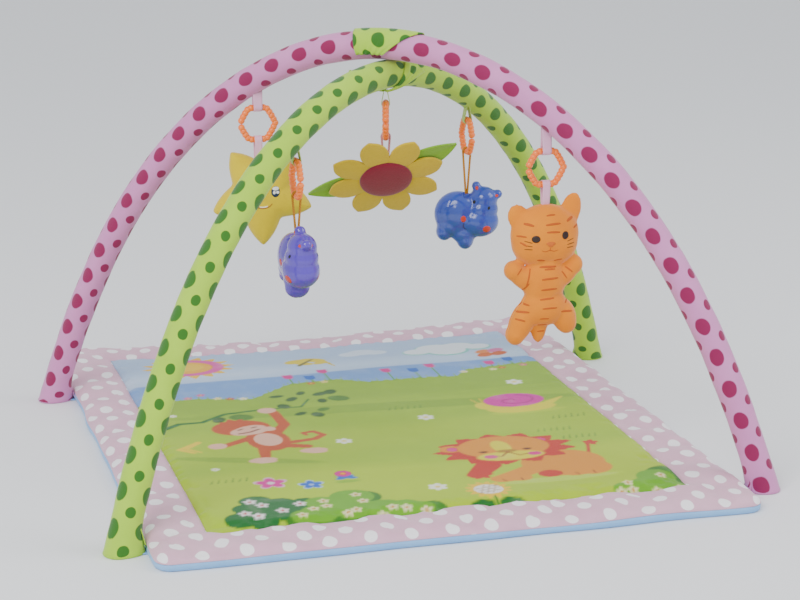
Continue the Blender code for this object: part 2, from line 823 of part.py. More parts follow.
def make_flower():
    flower.cord(-FLOWER_DROP + 2.5 * FELT, "ribbon", WIRE_RADIUS + 2 * CORD_RADIUS, 0.0013)
    yaw = radians(FLOWER_HEADING - 74.2)
    frame = pivot(
        "flower_frame",
        (0, 0, -FLOWER_DROP),
        (radians(90 - FLOWER_FACE), 0, yaw),
        flower.sway,
    )
    # Layers along the face's own +Z, which points at the child: leaves, petals, disc.
    place(flat_piece("flower_petals", petal_outline(), FELT), "petal", frame, (0, 0, 0))

    def dome(shape):
        bmesh.ops.create_uvsphere(shape, u_segments=16, v_segments=8, radius=DISC_RADIUS)
        bmesh.ops.bisect_plane(
            shape,
            geom=shape.verts[:] + shape.edges[:] + shape.faces[:],
            plane_co=(0, 0, 0),
            plane_no=(0, 0, -1),
            clear_outer=True,
        )
        rim = [edge for edge in shape.edges if edge.is_boundary]
        bmesh.ops.contextual_create(shape, geom=rim)
        bmesh.ops.scale(shape, verts=shape.verts, vec=(1, 1, DISC_HEIGHT / DISC_RADIUS))

    place(mesh_object("flower_disc", dome), "disc", frame, (0, 0, FELT / 2 + GAP))
    for name, angle in (("flower_leaf_right", 34), ("flower_leaf_left", 201)):
        leaf = flat_piece(name, leaf_outline(0.020, LEAF_REACH, LEAF_HALF_WIDTH), FELT)
        place(leaf, "leaf", frame, (0, 0, -FELT - GAP), (0, 0, radians(angle)))


make_flower()
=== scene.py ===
from math import cos, hypot, pi, radians, sin, sqrt

import bmesh
import bpy
import numpy as np
from mathutils import Euler, Matrix, Vector, noise
from mathutils.bvhtree import BVHTree


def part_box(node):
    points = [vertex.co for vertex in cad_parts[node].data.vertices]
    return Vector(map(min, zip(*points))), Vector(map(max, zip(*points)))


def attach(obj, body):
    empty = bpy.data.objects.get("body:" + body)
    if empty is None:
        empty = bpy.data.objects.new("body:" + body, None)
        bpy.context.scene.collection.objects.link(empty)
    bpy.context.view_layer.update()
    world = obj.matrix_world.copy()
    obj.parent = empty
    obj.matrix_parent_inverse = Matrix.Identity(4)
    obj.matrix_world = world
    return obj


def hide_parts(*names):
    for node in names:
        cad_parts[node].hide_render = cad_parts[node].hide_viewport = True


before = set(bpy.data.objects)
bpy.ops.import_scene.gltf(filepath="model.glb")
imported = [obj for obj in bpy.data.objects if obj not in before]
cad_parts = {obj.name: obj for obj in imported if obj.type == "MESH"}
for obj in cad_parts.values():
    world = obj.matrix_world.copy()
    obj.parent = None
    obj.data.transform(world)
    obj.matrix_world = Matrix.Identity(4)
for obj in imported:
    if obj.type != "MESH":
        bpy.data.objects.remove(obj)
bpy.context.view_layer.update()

# ---------------------------------------------------------------- camera, floor and light
# The viewer sits on the floor, a little to the left, and looks slightly down on the gym.
CAMERA_PLACE = Vector((-0.7563, -2.8116, 0.9436))
CAMERA_AIM = Vector((0.0387, 0.0, 0.1796))
CAMERA_LENS = 99.24
FLOOR_HALF = 14.0


def srgb(text):
    """A colour that is written as six hexadecimal digits, for the shaders."""
    parts = [int(text[i : i + 2], 16) / 255 for i in (0, 2, 4)]
    return tuple(p / 12.92 if p <= 0.04045 else ((p + 0.055) / 1.055) ** 2.4 for p in parts)


def show(obj):
    bpy.context.scene.collection.objects.link(obj)
    return obj


def solid(name, points, faces, *materials, smooth=True):
    """A mesh object at the origin, from its points and faces."""
    mesh = bpy.data.meshes.new(name)
    mesh.from_pydata([tuple(p) for p in points], [], [tuple(f) for f in faces])
    mesh.update()
    for material in materials:
        mesh.materials.append(material)
    if smooth:
        mesh.shade_smooth()
    return show(bpy.data.objects.new(name, mesh))


def faced_out(obj):
    """Turns all of a closed mesh's faces outward."""
    bm = bmesh.new()
    bm.from_mesh(obj.data)
    bmesh.ops.recalc_face_normals(bm, faces=bm.faces)
    bm.to_mesh(obj.data)
    bm.free()


def plain(name, colour, roughness):
    """A material and its shader, before its pattern is added."""
    material = bpy.data.materials.new(name)
    material.use_nodes = True
    shader = material.node_tree.nodes["Principled BSDF"]
    shader.inputs["Base Color"].default_value = (*srgb(colour), 1.0)
    shader.inputs["Roughness"].default_value = roughness
    return material, material.node_tree, shader


camera = show(bpy.data.objects.new("camera", bpy.data.cameras.new("camera")))
camera.data.lens = CAMERA_LENS
camera.location = CAMERA_PLACE
camera.rotation_euler = (CAMERA_AIM - CAMERA_PLACE).to_track_quat("-Z", "Y").to_euler()
bpy.context.scene.camera = camera

floor_paint, _, _ = plain("floor_paper", "EDEEF0", 0.75)
floor_corners = [(-1, -1, 0), (1, -1, 0), (1, 1, 0), (-1, 1, 0)]
floor = solid(
    "floor",
    [Vector(corner) * FLOOR_HALF for corner in floor_corners],
    [(0, 1, 2, 3)],
    floor_paint,
)

sky = bpy.data.worlds.new("room")
sky.use_nodes = True
sky.node_tree.nodes["Background"].inputs["Color"].default_value = (0.93, 0.96, 1.0, 1.0)
sky.node_tree.nodes["Background"].inputs["Strength"].default_value = 1.0
bpy.context.scene.world = sky

# Two large soft boxes: one over the viewer's left shoulder and a weaker one on the right.
for name, place, size, power in (
    ("soft_box_left", (-1.9, -2.2, 2.6), 2.2, 98.0),
    ("soft_box_right", (2.4, -1.2, 2.2), 1.8, 34.0),
):
    lamp = bpy.data.lights.new(name, "AREA")
    lamp.shape = "SQUARE"
    lamp.size = size
    lamp.energy = power
    lamp_object = show(bpy.data.objects.new(name, lamp))
    lamp_object.location = place
    aim = Vector((0, 0, 0.2)) - lamp_object.location
    lamp_object.rotation_euler = aim.to_track_quat("-Z", "Y").to_euler()

# ---------------------------------------------------------------- the mat's form
# The mat is a printed panel with a wide spotted border, sewn over wadding to a blue backing.
# It is slack and a little puckered, and thinner at the middle of its back edge.
_, mat_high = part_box("mat_backing")
_, panel_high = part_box("mat_panel")
HALF_W, HALF_D = mat_high.x, mat_high.y
SEAM_X, SEAM_Y = panel_high.x, panel_high.y
MAT_CORNER = 0.020
EDGE_HEIGHT = 0.0100  # where the border meets the backing
TOP_HEIGHT = 0.0178
ROLL = 0.016  # how far in from the edge the border rolls over
SEAM_DEPTH = 0.0026
SEAM_HALF = 0.0045
PAD_FLOOR = 0.0016  # underside of the wadding, on the backing
SCOOP = 0.022  # the back edge's middle is drawn in
SAG = 0.0075  # and lies lower
SIM_CELL = 0.0085
SWELL_CAP = 0.0045


def ease(value, low, high):
    """0 below low, 1 above high, and smooth between."""
    share = np.clip((np.asarray(value, float) - low) / (high - low), 0.0, 1.0)
    return share * share * (3 - 2 * share)


def wander(x, y, size, turn=0.0):
    """A slow wave over the cloth, between about -1 and 1."""
    a, b = x / size + turn, y / size - turn
    return (
        np.sin(1.9 * a + 1.3 * np.sin(1.1 * b))
        + np.sin(2.3 * b + 1.7 * np.sin(0.9 * a + 1.0))
        + np.sin(1.6 * (a + b) + 2.0)
    ) / 3


def to_corner(x, y):
    """Pulls the points of a plain rectangle in to the mat's rounded corners."""
    inner_x, inner_y = HALF_W - MAT_CORNER, HALF_D - MAT_CORNER
    a = np.clip(np.abs(x) - inner_x, 0, None) / MAT_CORNER
    b = np.clip(np.abs(y) - inner_y, 0, None) / MAT_CORNER
    in_corner = (a > 0) & (b > 0)
    round_a, round_b = a * np.sqrt(1 - b * b / 2), b * np.sqrt(1 - a * a / 2)
    new_x = np.where(in_corner, np.sign(x) * (inner_x + MAT_CORNER * round_a), x)
    new_y = np.where(in_corner, np.sign(y) * (inner_y + MAT_CORNER * round_b), y)
    beyond = np.where(in_corner, np.hypot(round_a, round_b), np.maximum(a, b))
    inside = np.minimum(HALF_W - np.abs(x), HALF_D - np.abs(y))
    from_edge = np.where((a > 0) | (b > 0), MAT_CORNER * (1 - beyond), inside)
    return new_x, new_y, np.clip(from_edge, 0, None)


def lie(x, y):
    """Where a point of the flat pattern lies: the back is drawn in and the edges wander."""
    middle = 1 - (x / HALF_W) ** 2
    near_edge = np.exp(-np.minimum(HALF_W - np.abs(x), HALF_D - np.abs(y)) / 0.05)
    shift_x = 0.0022 * wander(x, y, 0.045) * near_edge
    shift_y = 0.0018 * wander(x, y, 0.05, 2.0) * near_edge
    return x + shift_x, y + shift_y - SCOOP * middle * ease(y, 0.22, HALF_D)


def seam_distance(x, y):
    """Distance to the seam between the panel and the border."""
    out_x, out_y = np.abs(x) - SEAM_X, np.abs(y) - SEAM_Y
    outside = np.hypot(np.clip(out_x, 0, None), np.clip(out_y, 0, None))
    return np.where((out_x > 0) | (out_y > 0), outside, -np.maximum(out_x, out_y))


def swell_by_cloth():
    """Cloth simulation of the mat's upper side: how far each grid point rises and shifts."""
    xs = np.linspace(-HALF_W, HALF_W, int(2 * HALF_W / SIM_CELL))
    ys = np.linspace(-HALF_D, HALF_D, int(2 * HALF_D / SIM_CELL))
    gx, gy = np.meshgrid(xs, ys, indexing="ij")
    rows, cols = gx.shape
    start = np.stack([gx, gy, 0.0006 * wander(gx, gy, 0.03, 1.0)], -1).reshape(-1, 3)
    faces = [
        (i * cols + j, (i + 1) * cols + j, (i + 1) * cols + j + 1, i * cols + j + 1)
        for i in range(rows - 1)
        for j in range(cols - 1)
    ]
    cloth_mesh = solid("mat_swell", start, faces)
    held = cloth_mesh.vertex_groups.new(name="held")
    edge = np.minimum(HALF_W - np.abs(gx), HALF_D - np.abs(gy)).ravel()
    seam = seam_distance(gx, gy).ravel()
    held.add([int(i) for i in np.nonzero((edge < 1e-5) | (seam < SIM_CELL * 0.52))[0]], 1.0, "REPLACE")
    cloth = cloth_mesh.modifiers.new("cloth", "CLOTH")
    cloth.settings.vertex_group_mass = "held"
    cloth.settings.quality = 6
    cloth.settings.mass = 0.15
    cloth.settings.tension_stiffness = 18
    cloth.settings.compression_stiffness = 18
    cloth.settings.shear_stiffness = 6
    cloth.settings.bending_stiffness = 0.08
    cloth.settings.shrink_min = -0.018  # the cloth is cut a little larger than it lies
    cloth.settings.use_pressure = True
    cloth.settings.uniform_pressure_force = 2.0
    cloth.settings.effector_weights.gravity = 0.0
    scene = bpy.context.scene
    for step in range(1, 21):
        scene.frame_set(step)
    graph = bpy.context.evaluated_depsgraph_get()
    shaped = cloth_mesh.evaluated_get(graph).to_mesh()
    ends = np.empty(len(shaped.vertices) * 3)
    shaped.vertices.foreach_get("co", ends)
    moved = ends.reshape(-1, 3) - start
    bpy.data.objects.remove(cloth_mesh, do_unlink=True)
    scene.frame_set(1)
    length = np.linalg.norm(moved, axis=1, keepdims=True)
    moved *= np.minimum(1.0, SWELL_CAP / np.maximum(length, 1e-9))
    return xs, ys, moved.reshape(rows, cols, 3)


swell_x, swell_y, swell = swell_by_cloth()


def swollen(x, y, axis):
    """The simulated move of a point, read between the grid's points."""
    i = np.clip(np.searchsorted(swell_x, x) - 1, 0, len(swell_x) - 2)
    j = np.clip(np.searchsorted(swell_y, y) - 1, 0, len(swell_y) - 2)
    s = ease(x, swell_x[i], swell_x[i + 1])
    t = ease(y, swell_y[j], swell_y[j + 1])
    field = swell[..., axis]
    near = field[i, j] * (1 - s) + field[i + 1, j] * s
    far = field[i, j + 1] * (1 - s) + field[i + 1, j + 1] * s
    return near * (1 - t) + far * t


def mat_surface(x, y):
    """The upper side of the mat over points of its flat pattern."""
    corner_x, corner_y, from_edge = to_corner(x, y)
    rolled = np.sqrt(1 - (1 - np.clip(from_edge / ROLL, 0, 1)) ** 2)
    seam = SEAM_DEPTH * np.exp(-((seam_distance(x, y) / SEAM_HALF) ** 2))
    middle = (1 - (x / HALF_W) ** 2) * ease(y, 0.16, HALF_D)
    crest = TOP_HEIGHT + 0.0009 * wander(x, y, 0.07) - SAG * middle
    edge = EDGE_HEIGHT - 0.45 * SAG * middle + 0.0012 * wander(x, y, 0.06, 3.0)
    puckers = 0.0010 * np.exp(-from_edge / 0.018) * wander(x, y, 0.010, 5.0)
    z = edge + (crest - edge) * rolled - seam + (swollen(x, y, 2) + puckers) * rolled
    lie_x, lie_y = lie(corner_x + swollen(x, y, 0) * rolled, corner_y + swollen(x, y, 1) * rolled)
    return lie_x, lie_y, z


def slab(name, xs, ys, keep, material):
    """A closed pad over a grid: the mat's upper side, walls at its edges and a flat underside."""
    gx, gy = np.meshgrid(xs, ys, indexing="ij")
    top_x, top_y, top_z = mat_surface(gx, gy)
    _, _, from_edge = to_corner(gx, gy)
    low_z = np.where(from_edge < 0.003, top_z - 0.0005, PAD_FLOOR)
    rows, cols = gx.shape
    count = rows * cols
    points = np.concatenate(
        [
            np.stack([top_x, top_y, top_z], -1).reshape(-1, 3),
            np.stack([top_x, top_y, low_z], -1).reshape(-1, 3),
        ]
    )
    centre_x = (xs[:-1] + xs[1:]) / 2
    centre_y = (ys[:-1] + ys[1:]) / 2
    kept = keep(*np.meshgrid(centre_x, centre_y, indexing="ij"))
    faces = []
    for i, j in zip(*np.nonzero(kept)):
        a, b, c, d = i * cols + j, (i + 1) * cols + j, (i + 1) * cols + j + 1, i * cols + j + 1
        faces.append((a, b, c, d))
        faces.append((d + count, c + count, b + count, a + count))
        for (p, q), beyond in (
            ((a, b), j > 0 and kept[i, j - 1]),
            ((b, c), i < rows - 2 and kept[i + 1, j]),
            ((c, d), j < cols - 2 and kept[i, j + 1]),
            ((d, a), i > 0 and kept[i - 1, j]),
        ):
            if not beyond:
                faces.append((q, p, p + count, q + count))
    used = np.unique(np.array(faces))
    place = np.full(2 * count, -1)
    place[used] = np.arange(len(used))
    made = solid(name, points[used], [tuple(place[list(f)]) for f in faces], material)
    flat = np.stack([np.tile(gx.ravel(), 2), np.tile(gy.ravel(), 2)], -1)[used]
    return made, flat


def cloth_map(obj, flat, name="cloth"):
    """A UV map in metres of cloth, from one flat place for each vertex."""
    layer = obj.data.uv_layers.new(name=name)
    corners = np.empty(len(obj.data.loops), int)
    obj.data.loops.foreach_get("vertex_index", corners)
    layer.data.foreach_set("uv", flat[corners].astype(np.float32).ravel())


def edged(half, seam, cell, inner_cell):
    """Grid lines across the mat: close together on the rolled edge and at the seam."""
    turn = np.linspace(0, pi / 2, 7)[:-1]
    roll_lines = half - ROLL * (1 - np.cos(turn))
    border = np.linspace(half - ROLL, seam, max(3, int((half - ROLL - seam) / cell)) + 1)
    outer = np.concatenate([roll_lines, border])
    inner = np.linspace(-seam, seam, int(2 * seam / inner_cell) + 1)[1:-1]
    return np.concatenate([-outer, inner, outer[::-1]])


# ---------------------------------------------------------------- shader tools, first used on the border
def add(tree, kind, sockets=None, **settings):
    """Adds a shader node, sets it and links or sets its inputs."""
    made = tree.nodes.new(kind)
    for key, value in settings.items():
        setattr(made, key, value)
    for key, value in (sockets or {}).items():
        if isinstance(value, bpy.types.NodeSocket):
            tree.links.new(value, made.inputs[key])
        else:
            made.inputs[key].default_value = value
    return made


def sums(tree, operation, *values):
    return add(
        tree, "ShaderNodeMath", dict(enumerate(values)), operation=operation
    ).outputs[0]


def spots(tree, u, v, pitch_u, pitch_v, half_u, half_v, shift_u=0.0, shift_v=0.0, soft=0.12):
    """A lattice of oval spots over a cloth map: 1 on a spot and 0 off it."""
    squares = []
    for socket, pitch, half, shift in ((u, pitch_u, half_u, shift_u), (v, pitch_v, half_v, shift_v)):
        cell = sums(tree, "ADD", sums(tree, "DIVIDE", socket, pitch), shift)
        part = sums(tree, "SUBTRACT", cell, sums(tree, "ROUND", cell))
        away = sums(tree, "ABSOLUTE", sums(tree, "MULTIPLY", part, pitch / half))
        squares.append(sums(tree, "POWER", away, 2.0))
    reach = sums(tree, "SQRT", sums(tree, "ADD", *squares))
    fade = sums(tree, "DIVIDE", sums(tree, "SUBTRACT", 1.0 + soft / 2, reach), soft)
    clamp = add(tree, "ShaderNodeClamp", {"Value": fade})
    return clamp.outputs[0]


def wobbly_map(tree, map_name, amount, scale):
    """The cloth map's U and V, shaken a little so that printed spots aren't perfect."""
    place = add(tree, "ShaderNodeUVMap", uv_map=map_name).outputs[0]
    shake = add(tree, "ShaderNodeTexNoise", {"Vector": place, "Scale": scale, "Detail": 1.0})
    centred = add(
        tree,
        "ShaderNodeVectorMath",
        {0: shake.outputs["Color"], 1: (0.5, 0.5, 0.5)},
        operation="SUBTRACT",
    )
    moved = add(
        tree,
        "ShaderNodeVectorMath",
        {0: centred.outputs[0], 1: (amount, amount, 0.0), 2: place},
        operation="MULTIPLY_ADD",
    )
    split = add(tree, "ShaderNodeSeparateXYZ", {0: moved.outputs[0]})
    return place, split.outputs[0], split.outputs[1]


def weave(tree, shader, place, thread=0.0007, depth=0.00012, crease=0.0004, crease_scale=28.0):
    """Plain-weave threads and soft creases, as a bump on the cloth. Returns the creases' height, which the
    cloths also use to paint shade into the hollows and highlight onto the crests.
    """
    ways = []
    for direction in ("X", "Y"):
        ways.append(
            add(
                tree,
                "ShaderNodeTexWave",
                {"Vector": place, "Scale": 0.314 / thread, "Distortion": 0.6},
                bands_direction=direction,
            ).outputs["Fac"]
        )
    threads = sums(tree, "MAXIMUM", *ways)
    fine = add(tree, "ShaderNodeBump", {"Height": threads, "Distance": depth, "Strength": 0.6})
    folds = add(
        tree, "ShaderNodeTexNoise", {"Vector": place, "Scale": crease_scale, "Detail": 3.0}
    )
    broad = add(
        tree,
        "ShaderNodeBump",
        {
            "Height": folds.outputs["Fac"],
            "Distance": crease,
            "Strength": 0.7,
            "Normal": fine.outputs["Normal"],
        },
    )
    tree.links.new(broad.outputs["Normal"], shader.inputs["Normal"])
    return folds.outputs["Fac"]


def blend_colour(tree, share, first, second):
    """A colour between two, each a colour's digits or a socket."""
    made = add(tree, "ShaderNodeMix", {"Factor": share}, data_type="RGBA")
    for key, value in (("A", first), ("B", second)):
        socket = [s for s in made.inputs if s.identifier == f"{key}_Color"][0]
        if isinstance(value, str):
            socket.default_value = (*srgb(value), 1.0)
        else:
            tree.links.new(value, socket)
    return [s for s in made.outputs if s.identifier == "Result_Color"][0]


# ---------------------------------------------------------------- spotted border
# A band of dusty-pink cotton with white spots, which rolls over the mat's edge and is
# sewn to the backing halfway down.
SPOT_PITCH = 0.050
BORDER_CELL = 0.0050

border_cloth, tree, shader = plain("spotted_pink_cotton", "D9A9BE", 0.85)
place, u, v = wobbly_map(tree, "cloth", 0.0075, 30.0)
one = spots(tree, u, v, SPOT_PITCH, SPOT_PITCH, 0.0082, 0.0105, 0.5, 0.1)
two = spots(tree, u, v, SPOT_PITCH, SPOT_PITCH, 0.0082, 0.0105, 0.0, 0.6)
both = sums(tree, "MAXIMUM", one, two)
folds = weave(tree, shader, place)
# Painted shade and highlight: the pink is darker in the crease hollows and lighter on their crests.
ground = blend_colour(tree, folds, "CF9CB3", "E2B6CA")
tree.links.new(blend_colour(tree, both, ground, "F6F3F6"), shader.inputs["Base Color"])
shader.inputs["Sheen Weight"].default_value = 0.25
shader.inputs["Sheen Roughness"].default_value = 0.5

border_x = edged(HALF_W, SEAM_X + 0.0001, BORDER_CELL, 0.0085)
border_y = edged(HALF_D, SEAM_Y + 0.0001, BORDER_CELL, 0.0085)
border, border_flat = slab(
    "border",
    border_x,
    border_y,
    lambda x, y: (np.abs(x) > SEAM_X) | (np.abs(y) > SEAM_Y),
    border_cloth,
)


def along_roll(flat, half):
    """Cloth length from the middle, counted round the rolled edge."""
    inside = np.clip((half - np.abs(flat)) / ROLL, 0, 1)
    return np.sign(flat) * (
        np.minimum(np.abs(flat), half - ROLL) + ROLL * (pi / 2 - np.arccos(1 - inside)) * (inside < 1)
    )


cloth_map(
    border,
    np.stack([along_roll(border_flat[:, 0], HALF_W), along_roll(border_flat[:, 1], HALF_D)], -1),
)
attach(border, "mat")
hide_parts("mat_border_front", "mat_border_back", "mat_border_left", "mat_border_right")

# ---------------------------------------------------------------- printed panel
# A soft cotton print of a meadow by the water, under a pale sky with a sun and clouds.
# The inks are laid over each other on the cloth, so each shape has a slightly soft edge.
PANEL_CELL_X = 0.0024
PANEL_CELL_Y = 0.0032
panel_x = np.linspace(-SEAM_X, SEAM_X, int(2 * SEAM_X / PANEL_CELL_X))
panel_y = np.linspace(-SEAM_Y, SEAM_Y, int(2 * SEAM_Y / PANEL_CELL_Y))


def fine_pad(name, xs, ys, material):
    """A closed pad with a fine upper side, and one flat face underneath."""
    gx, gy = np.meshgrid(xs, ys, indexing="ij")
    top = np.stack(mat_surface(gx, gy), -1)
    rows, cols = gx.shape
    index = np.arange(rows * cols).reshape(rows, cols)
    quads = np.stack([index[:-1, :-1], index[1:, :-1], index[1:, 1:], index[:-1, 1:]], -1)
    rim = np.concatenate([index[:-1, 0], index[-1, :-1], index[:0:-1, -1], index[0, :0:-1]])
    low = top.reshape(-1, 3)[rim].copy()
    low[:, 2] = PAD_FLOOR
    base = rows * cols + np.arange(len(rim))
    walls = np.stack([np.roll(rim, -1), rim, base, np.roll(base, -1)], -1)
    faces = [tuple(f) for f in quads.reshape(-1, 4)] + [tuple(f) for f in walls]
    faces.append(tuple(base[::-1]))
    made = solid(name, np.concatenate([top.reshape(-1, 3), low]), faces, material)
    flat = np.stack([gx.ravel(), gy.ravel()], -1)
    return made, np.concatenate([flat, flat[rim]])


panel_cloth, tree, shader = plain("printed_cotton", "9DC21A", 0.88)
ink = add(tree, "ShaderNodeVertexColor", layer_name="print")
place = add(tree, "ShaderNodeUVMap", uv_map="cloth").outputs[0]
folds = weave(tree, shader, place)
# Painted highlight: the print is paled towards off-white on the crests of the crease bump.
crest_highlight = sums(tree, "MULTIPLY", sums(tree, "SUBTRACT", folds, 0.5), 0.5)
crest_highlight = add(tree, "ShaderNodeClamp", {"Value": crest_highlight}).outputs[0]
deeper = add(
    tree,
    "ShaderNodeHueSaturation",
    {"Saturation": 1.28, "Value": 0.82, "Color": blend_colour(tree, crest_highlight, ink.outputs["Color"], "F2F2E6")},
)
tree.links.new(deeper.outputs["Color"], shader.inputs["Base Color"])
shader.inputs["Sheen Weight"].default_value = 0.15

panel, panel_flat = fine_pad("panel", panel_x, panel_y, panel_cloth)
cloth_map(panel, panel_flat)


class Print:
    """Inks on the panel: each shape is laid over what is there, with a soft edge."""

    def __init__(self, flat):
        self.x, self.y = flat[:, 0], flat[:, 1]
        self.ink = np.zeros((len(flat), 3))

    def lay(self, distance, colour, soft=0.0022):
        """Inks the points whose distance to the shape's outline is below zero."""
        share = np.clip(0.5 - distance / soft, 0, 1)[:, None]
        self.ink = self.ink * (1 - share) + np.array(srgb(colour)) * share

    def oval(self, x, y, half_x, half_y, colour, turn=0.0):
        c, s = cos(radians(turn)), sin(radians(turn))
        a = (self.x - x) * c + (self.y - y) * s
        b = (self.y - y) * c - (self.x - x) * s
        reach = np.hypot(a / half_x, b / half_y)
        self.lay((reach - 1) * min(half_x, half_y), colour)

    def line(self, points, width, colour, tip=None):
        """A line through the points, which narrows from width to tip."""
        nearest = np.full(len(self.x), 9.0)
        tip = width if tip is None else tip
        count = len(points) - 1
        for i, ((ax, ay), (bx, by)) in enumerate(zip(points, points[1:])):
            run = (bx - ax) ** 2 + (by - ay) ** 2
            t = np.clip(((self.x - ax) * (bx - ax) + (self.y - ay) * (by - ay)) / run, 0, 1)
            half = width + (tip - width) * (i + t) / count
            away = np.hypot(self.x - ax - t * (bx - ax), self.y - ay - t * (by - ay)) - half / 2
            nearest = np.minimum(nearest, away)
        self.lay(nearest, colour)

    def star(self, x, y, reach, waist, points, colour, turn=0.0, squash=1.0):
        """A shape with a wavy outline: the rays of a sun, or a mane."""
        angle = np.arctan2((self.y - y) / squash, self.x - x) + turn
        fold = np.abs((angle * points / (2 * pi)) % 1.0 * 2 - 1)
        edge = waist + (reach - waist) * fold
        self.lay(np.hypot(self.x - x, (self.y - y) / squash) - edge, colour)

    def blossom(self, x, y, size, colour, heart, petals=5, edge=None):
        if edge:
            self.blossom(x, y, size * 1.22, edge, edge, petals)
        for k in range(petals):
            turn = 2 * pi * k / petals + 0.3
            self.oval(
                x + 0.55 * size * cos(turn),
                y + 0.55 * size * sin(turn),
                0.48 * size,
                0.34 * size,
                colour,
                k * 360 / petals + 17,
            )
        self.oval(x, y, 0.28 * size, 0.28 * size, heart)

    def lumps(self, places, colour):
        for x, y, size in places:
            self.oval(x, y, size, size * 0.9, colour)


def waterline(x):
    """The hilly upper edge of the meadow."""
    return np.interp(
        x,
        (-0.31, -0.22, -0.17, -0.145, -0.10, -0.08, -0.01, 0.03, 0.14, 0.16, 0.19, 0.25, 0.32),
        (0.125, 0.122, 0.105, 0.103, 0.145, 0.162, 0.165, 0.140, 0.140, 0.133, 0.165, 0.172, 0.180),
    )


art = Print(panel_flat)
art.lay(np.full(len(art.x), -1.0), "BCD0EA")
art.lay(np.abs(art.y - 0.235) - 0.022, "CFE0F5", 0.05)
art.lay(art.y - 0.207 - 0.003 * np.sin(art.x * 9), "90AEDC", 0.004)
art.lay(art.y - waterline(art.x) - 0.003 * np.abs(np.sin(art.x * 190)), "8FB71C")
art.lay(art.y - 0.055 - 0.012 * np.sin(art.x * 14 + 1), "9CC313", 0.03)
for y, colour in ((-0.045, "A9CC18"), (-0.150, "A3C81A"), (-0.215, "B4D31C"), (-0.335, "AFCF17")):
    art.lay(art.y - y - 0.015 * np.sin(art.x * 11 + y * 40), colour, 0.035)
art.oval(0.02, 0.02, 0.30, 0.018, "8AB30F", -4)
art.oval(-0.21, -0.155, 0.10, 0.010, "8DB515", -20)
art.oval(0.17, 0.055, 0.12, 0.008, "97BE1F", 3)

# Sun, clouds and the small flyers in the sky.
art.star(-0.205, 0.293, 0.068, 0.048, 16, "F2C63C")
art.oval(-0.205, 0.293, 0.053, 0.050, "E07BB5")
art.oval(-0.207, 0.293, 0.038, 0.036, "F0B41E")
art.oval(-0.207, 0.296, 0.026, 0.024, "F4C93A")
for puffs, colour, grow in (((0.19, 0.285), "8ECFC6", 1.1), ((0.19, 0.288), "EDF4FA", 0.97)):
    for dx, dy, size in (
        (-0.045, -0.004, 0.022), (-0.015, 0.012, 0.028), (0.02, 0.010, 0.028),
        (0.05, -0.002, 0.020), (0.0, -0.012, 0.030),
    ):
        art.oval(puffs[0] + dx, puffs[1] + dy, size * grow, size * grow * 0.8, colour)
for dx, dy, size in ((0.045, 0.0, 0.018), (0.065, 0.008, 0.022), (0.085, 0.0, 0.017)):
    art.oval(dx, 0.305 + dy, size, size * 0.8, "DCE8F6")
for dx, dy, half, turn in (
    (-0.045, 0.004, 0.019, 30), (-0.018, 0.008, 0.020, -25),
    (-0.035, -0.012, 0.014, -30), (-0.010, -0.012, 0.013, 35),
):
    art.oval(dx, 0.278 + dy, half, half * 0.62, "E3CC1C", turn)
art.line([(-0.045, 0.255), (-0.018, 0.292)], 0.007, "6F6A17", 0.004)
art.line([(0.0, 0.262), (0.005, 0.238)], 0.006, "D8C01A", 0.002)
for dx, dy, colour in (
    (-0.010, 0.008, "E9A27E"), (0.010, 0.010, "D98BB0"),
    (-0.012, -0.010, "D6713F"), (0.010, -0.008, "C96A4A"),
):
    art.oval(0.25 + dx, 0.243 + dy, 0.014, 0.010, colour, 25)

# Grass and small flowers along the top of the meadow.
for k in range(46):
    x = -0.27 + 0.0127 * k
    lean = 0.004 * sin(k * 2.4)
    root = float(waterline(x))
    top = root + 0.008 + 0.006 * abs(sin(k * 1.7))
    art.line([(x, root - 0.004), (x + lean, top)], 0.0026, "83AD1B", 0.001)
for x, y, colour in (
    (-0.235, 0.130, "D77BA8"), (-0.215, 0.140, "D77BA8"), (-0.195, 0.118, "E9E4B8"),
    (-0.178, 0.112, "B4493A"), (-0.160, 0.108, "F2F0DC"), (-0.050, 0.158, "C2693C"),
    (-0.030, 0.160, "E6D9A0"), (0.180, 0.155, "F0EBC8"), (0.225, 0.155, "F0EBC8"),
    (0.240, 0.160, "C2593C"), (0.275, 0.165, "D77BA8"),
):
    art.blossom(x, y, 0.0065, colour, "F2E27A")
for x, y, colour in (
    (-0.075, 0.198, "D9619C"), (-0.045, 0.186, "4F76C4"), (-0.020, 0.212, "D9619C"),
    (0.070, 0.188, "D9619C"), (0.110, 0.180, "4F76C4"), (0.140, 0.198, "D9619C"),
    (0.230, 0.190, "D9619C"), (0.262, 0.200, "4F76C4"),
):
    art.line([(x, float(waterline(x))), (x, y)], 0.0028, "5E9A3C")
    art.oval(x, y, 0.0075, 0.010, colour)
    art.oval(x - 0.004, y + 0.005, 0.003, 0.006, colour, 20)
    art.oval(x + 0.004, y + 0.005, 0.003, 0.006, colour, -20)

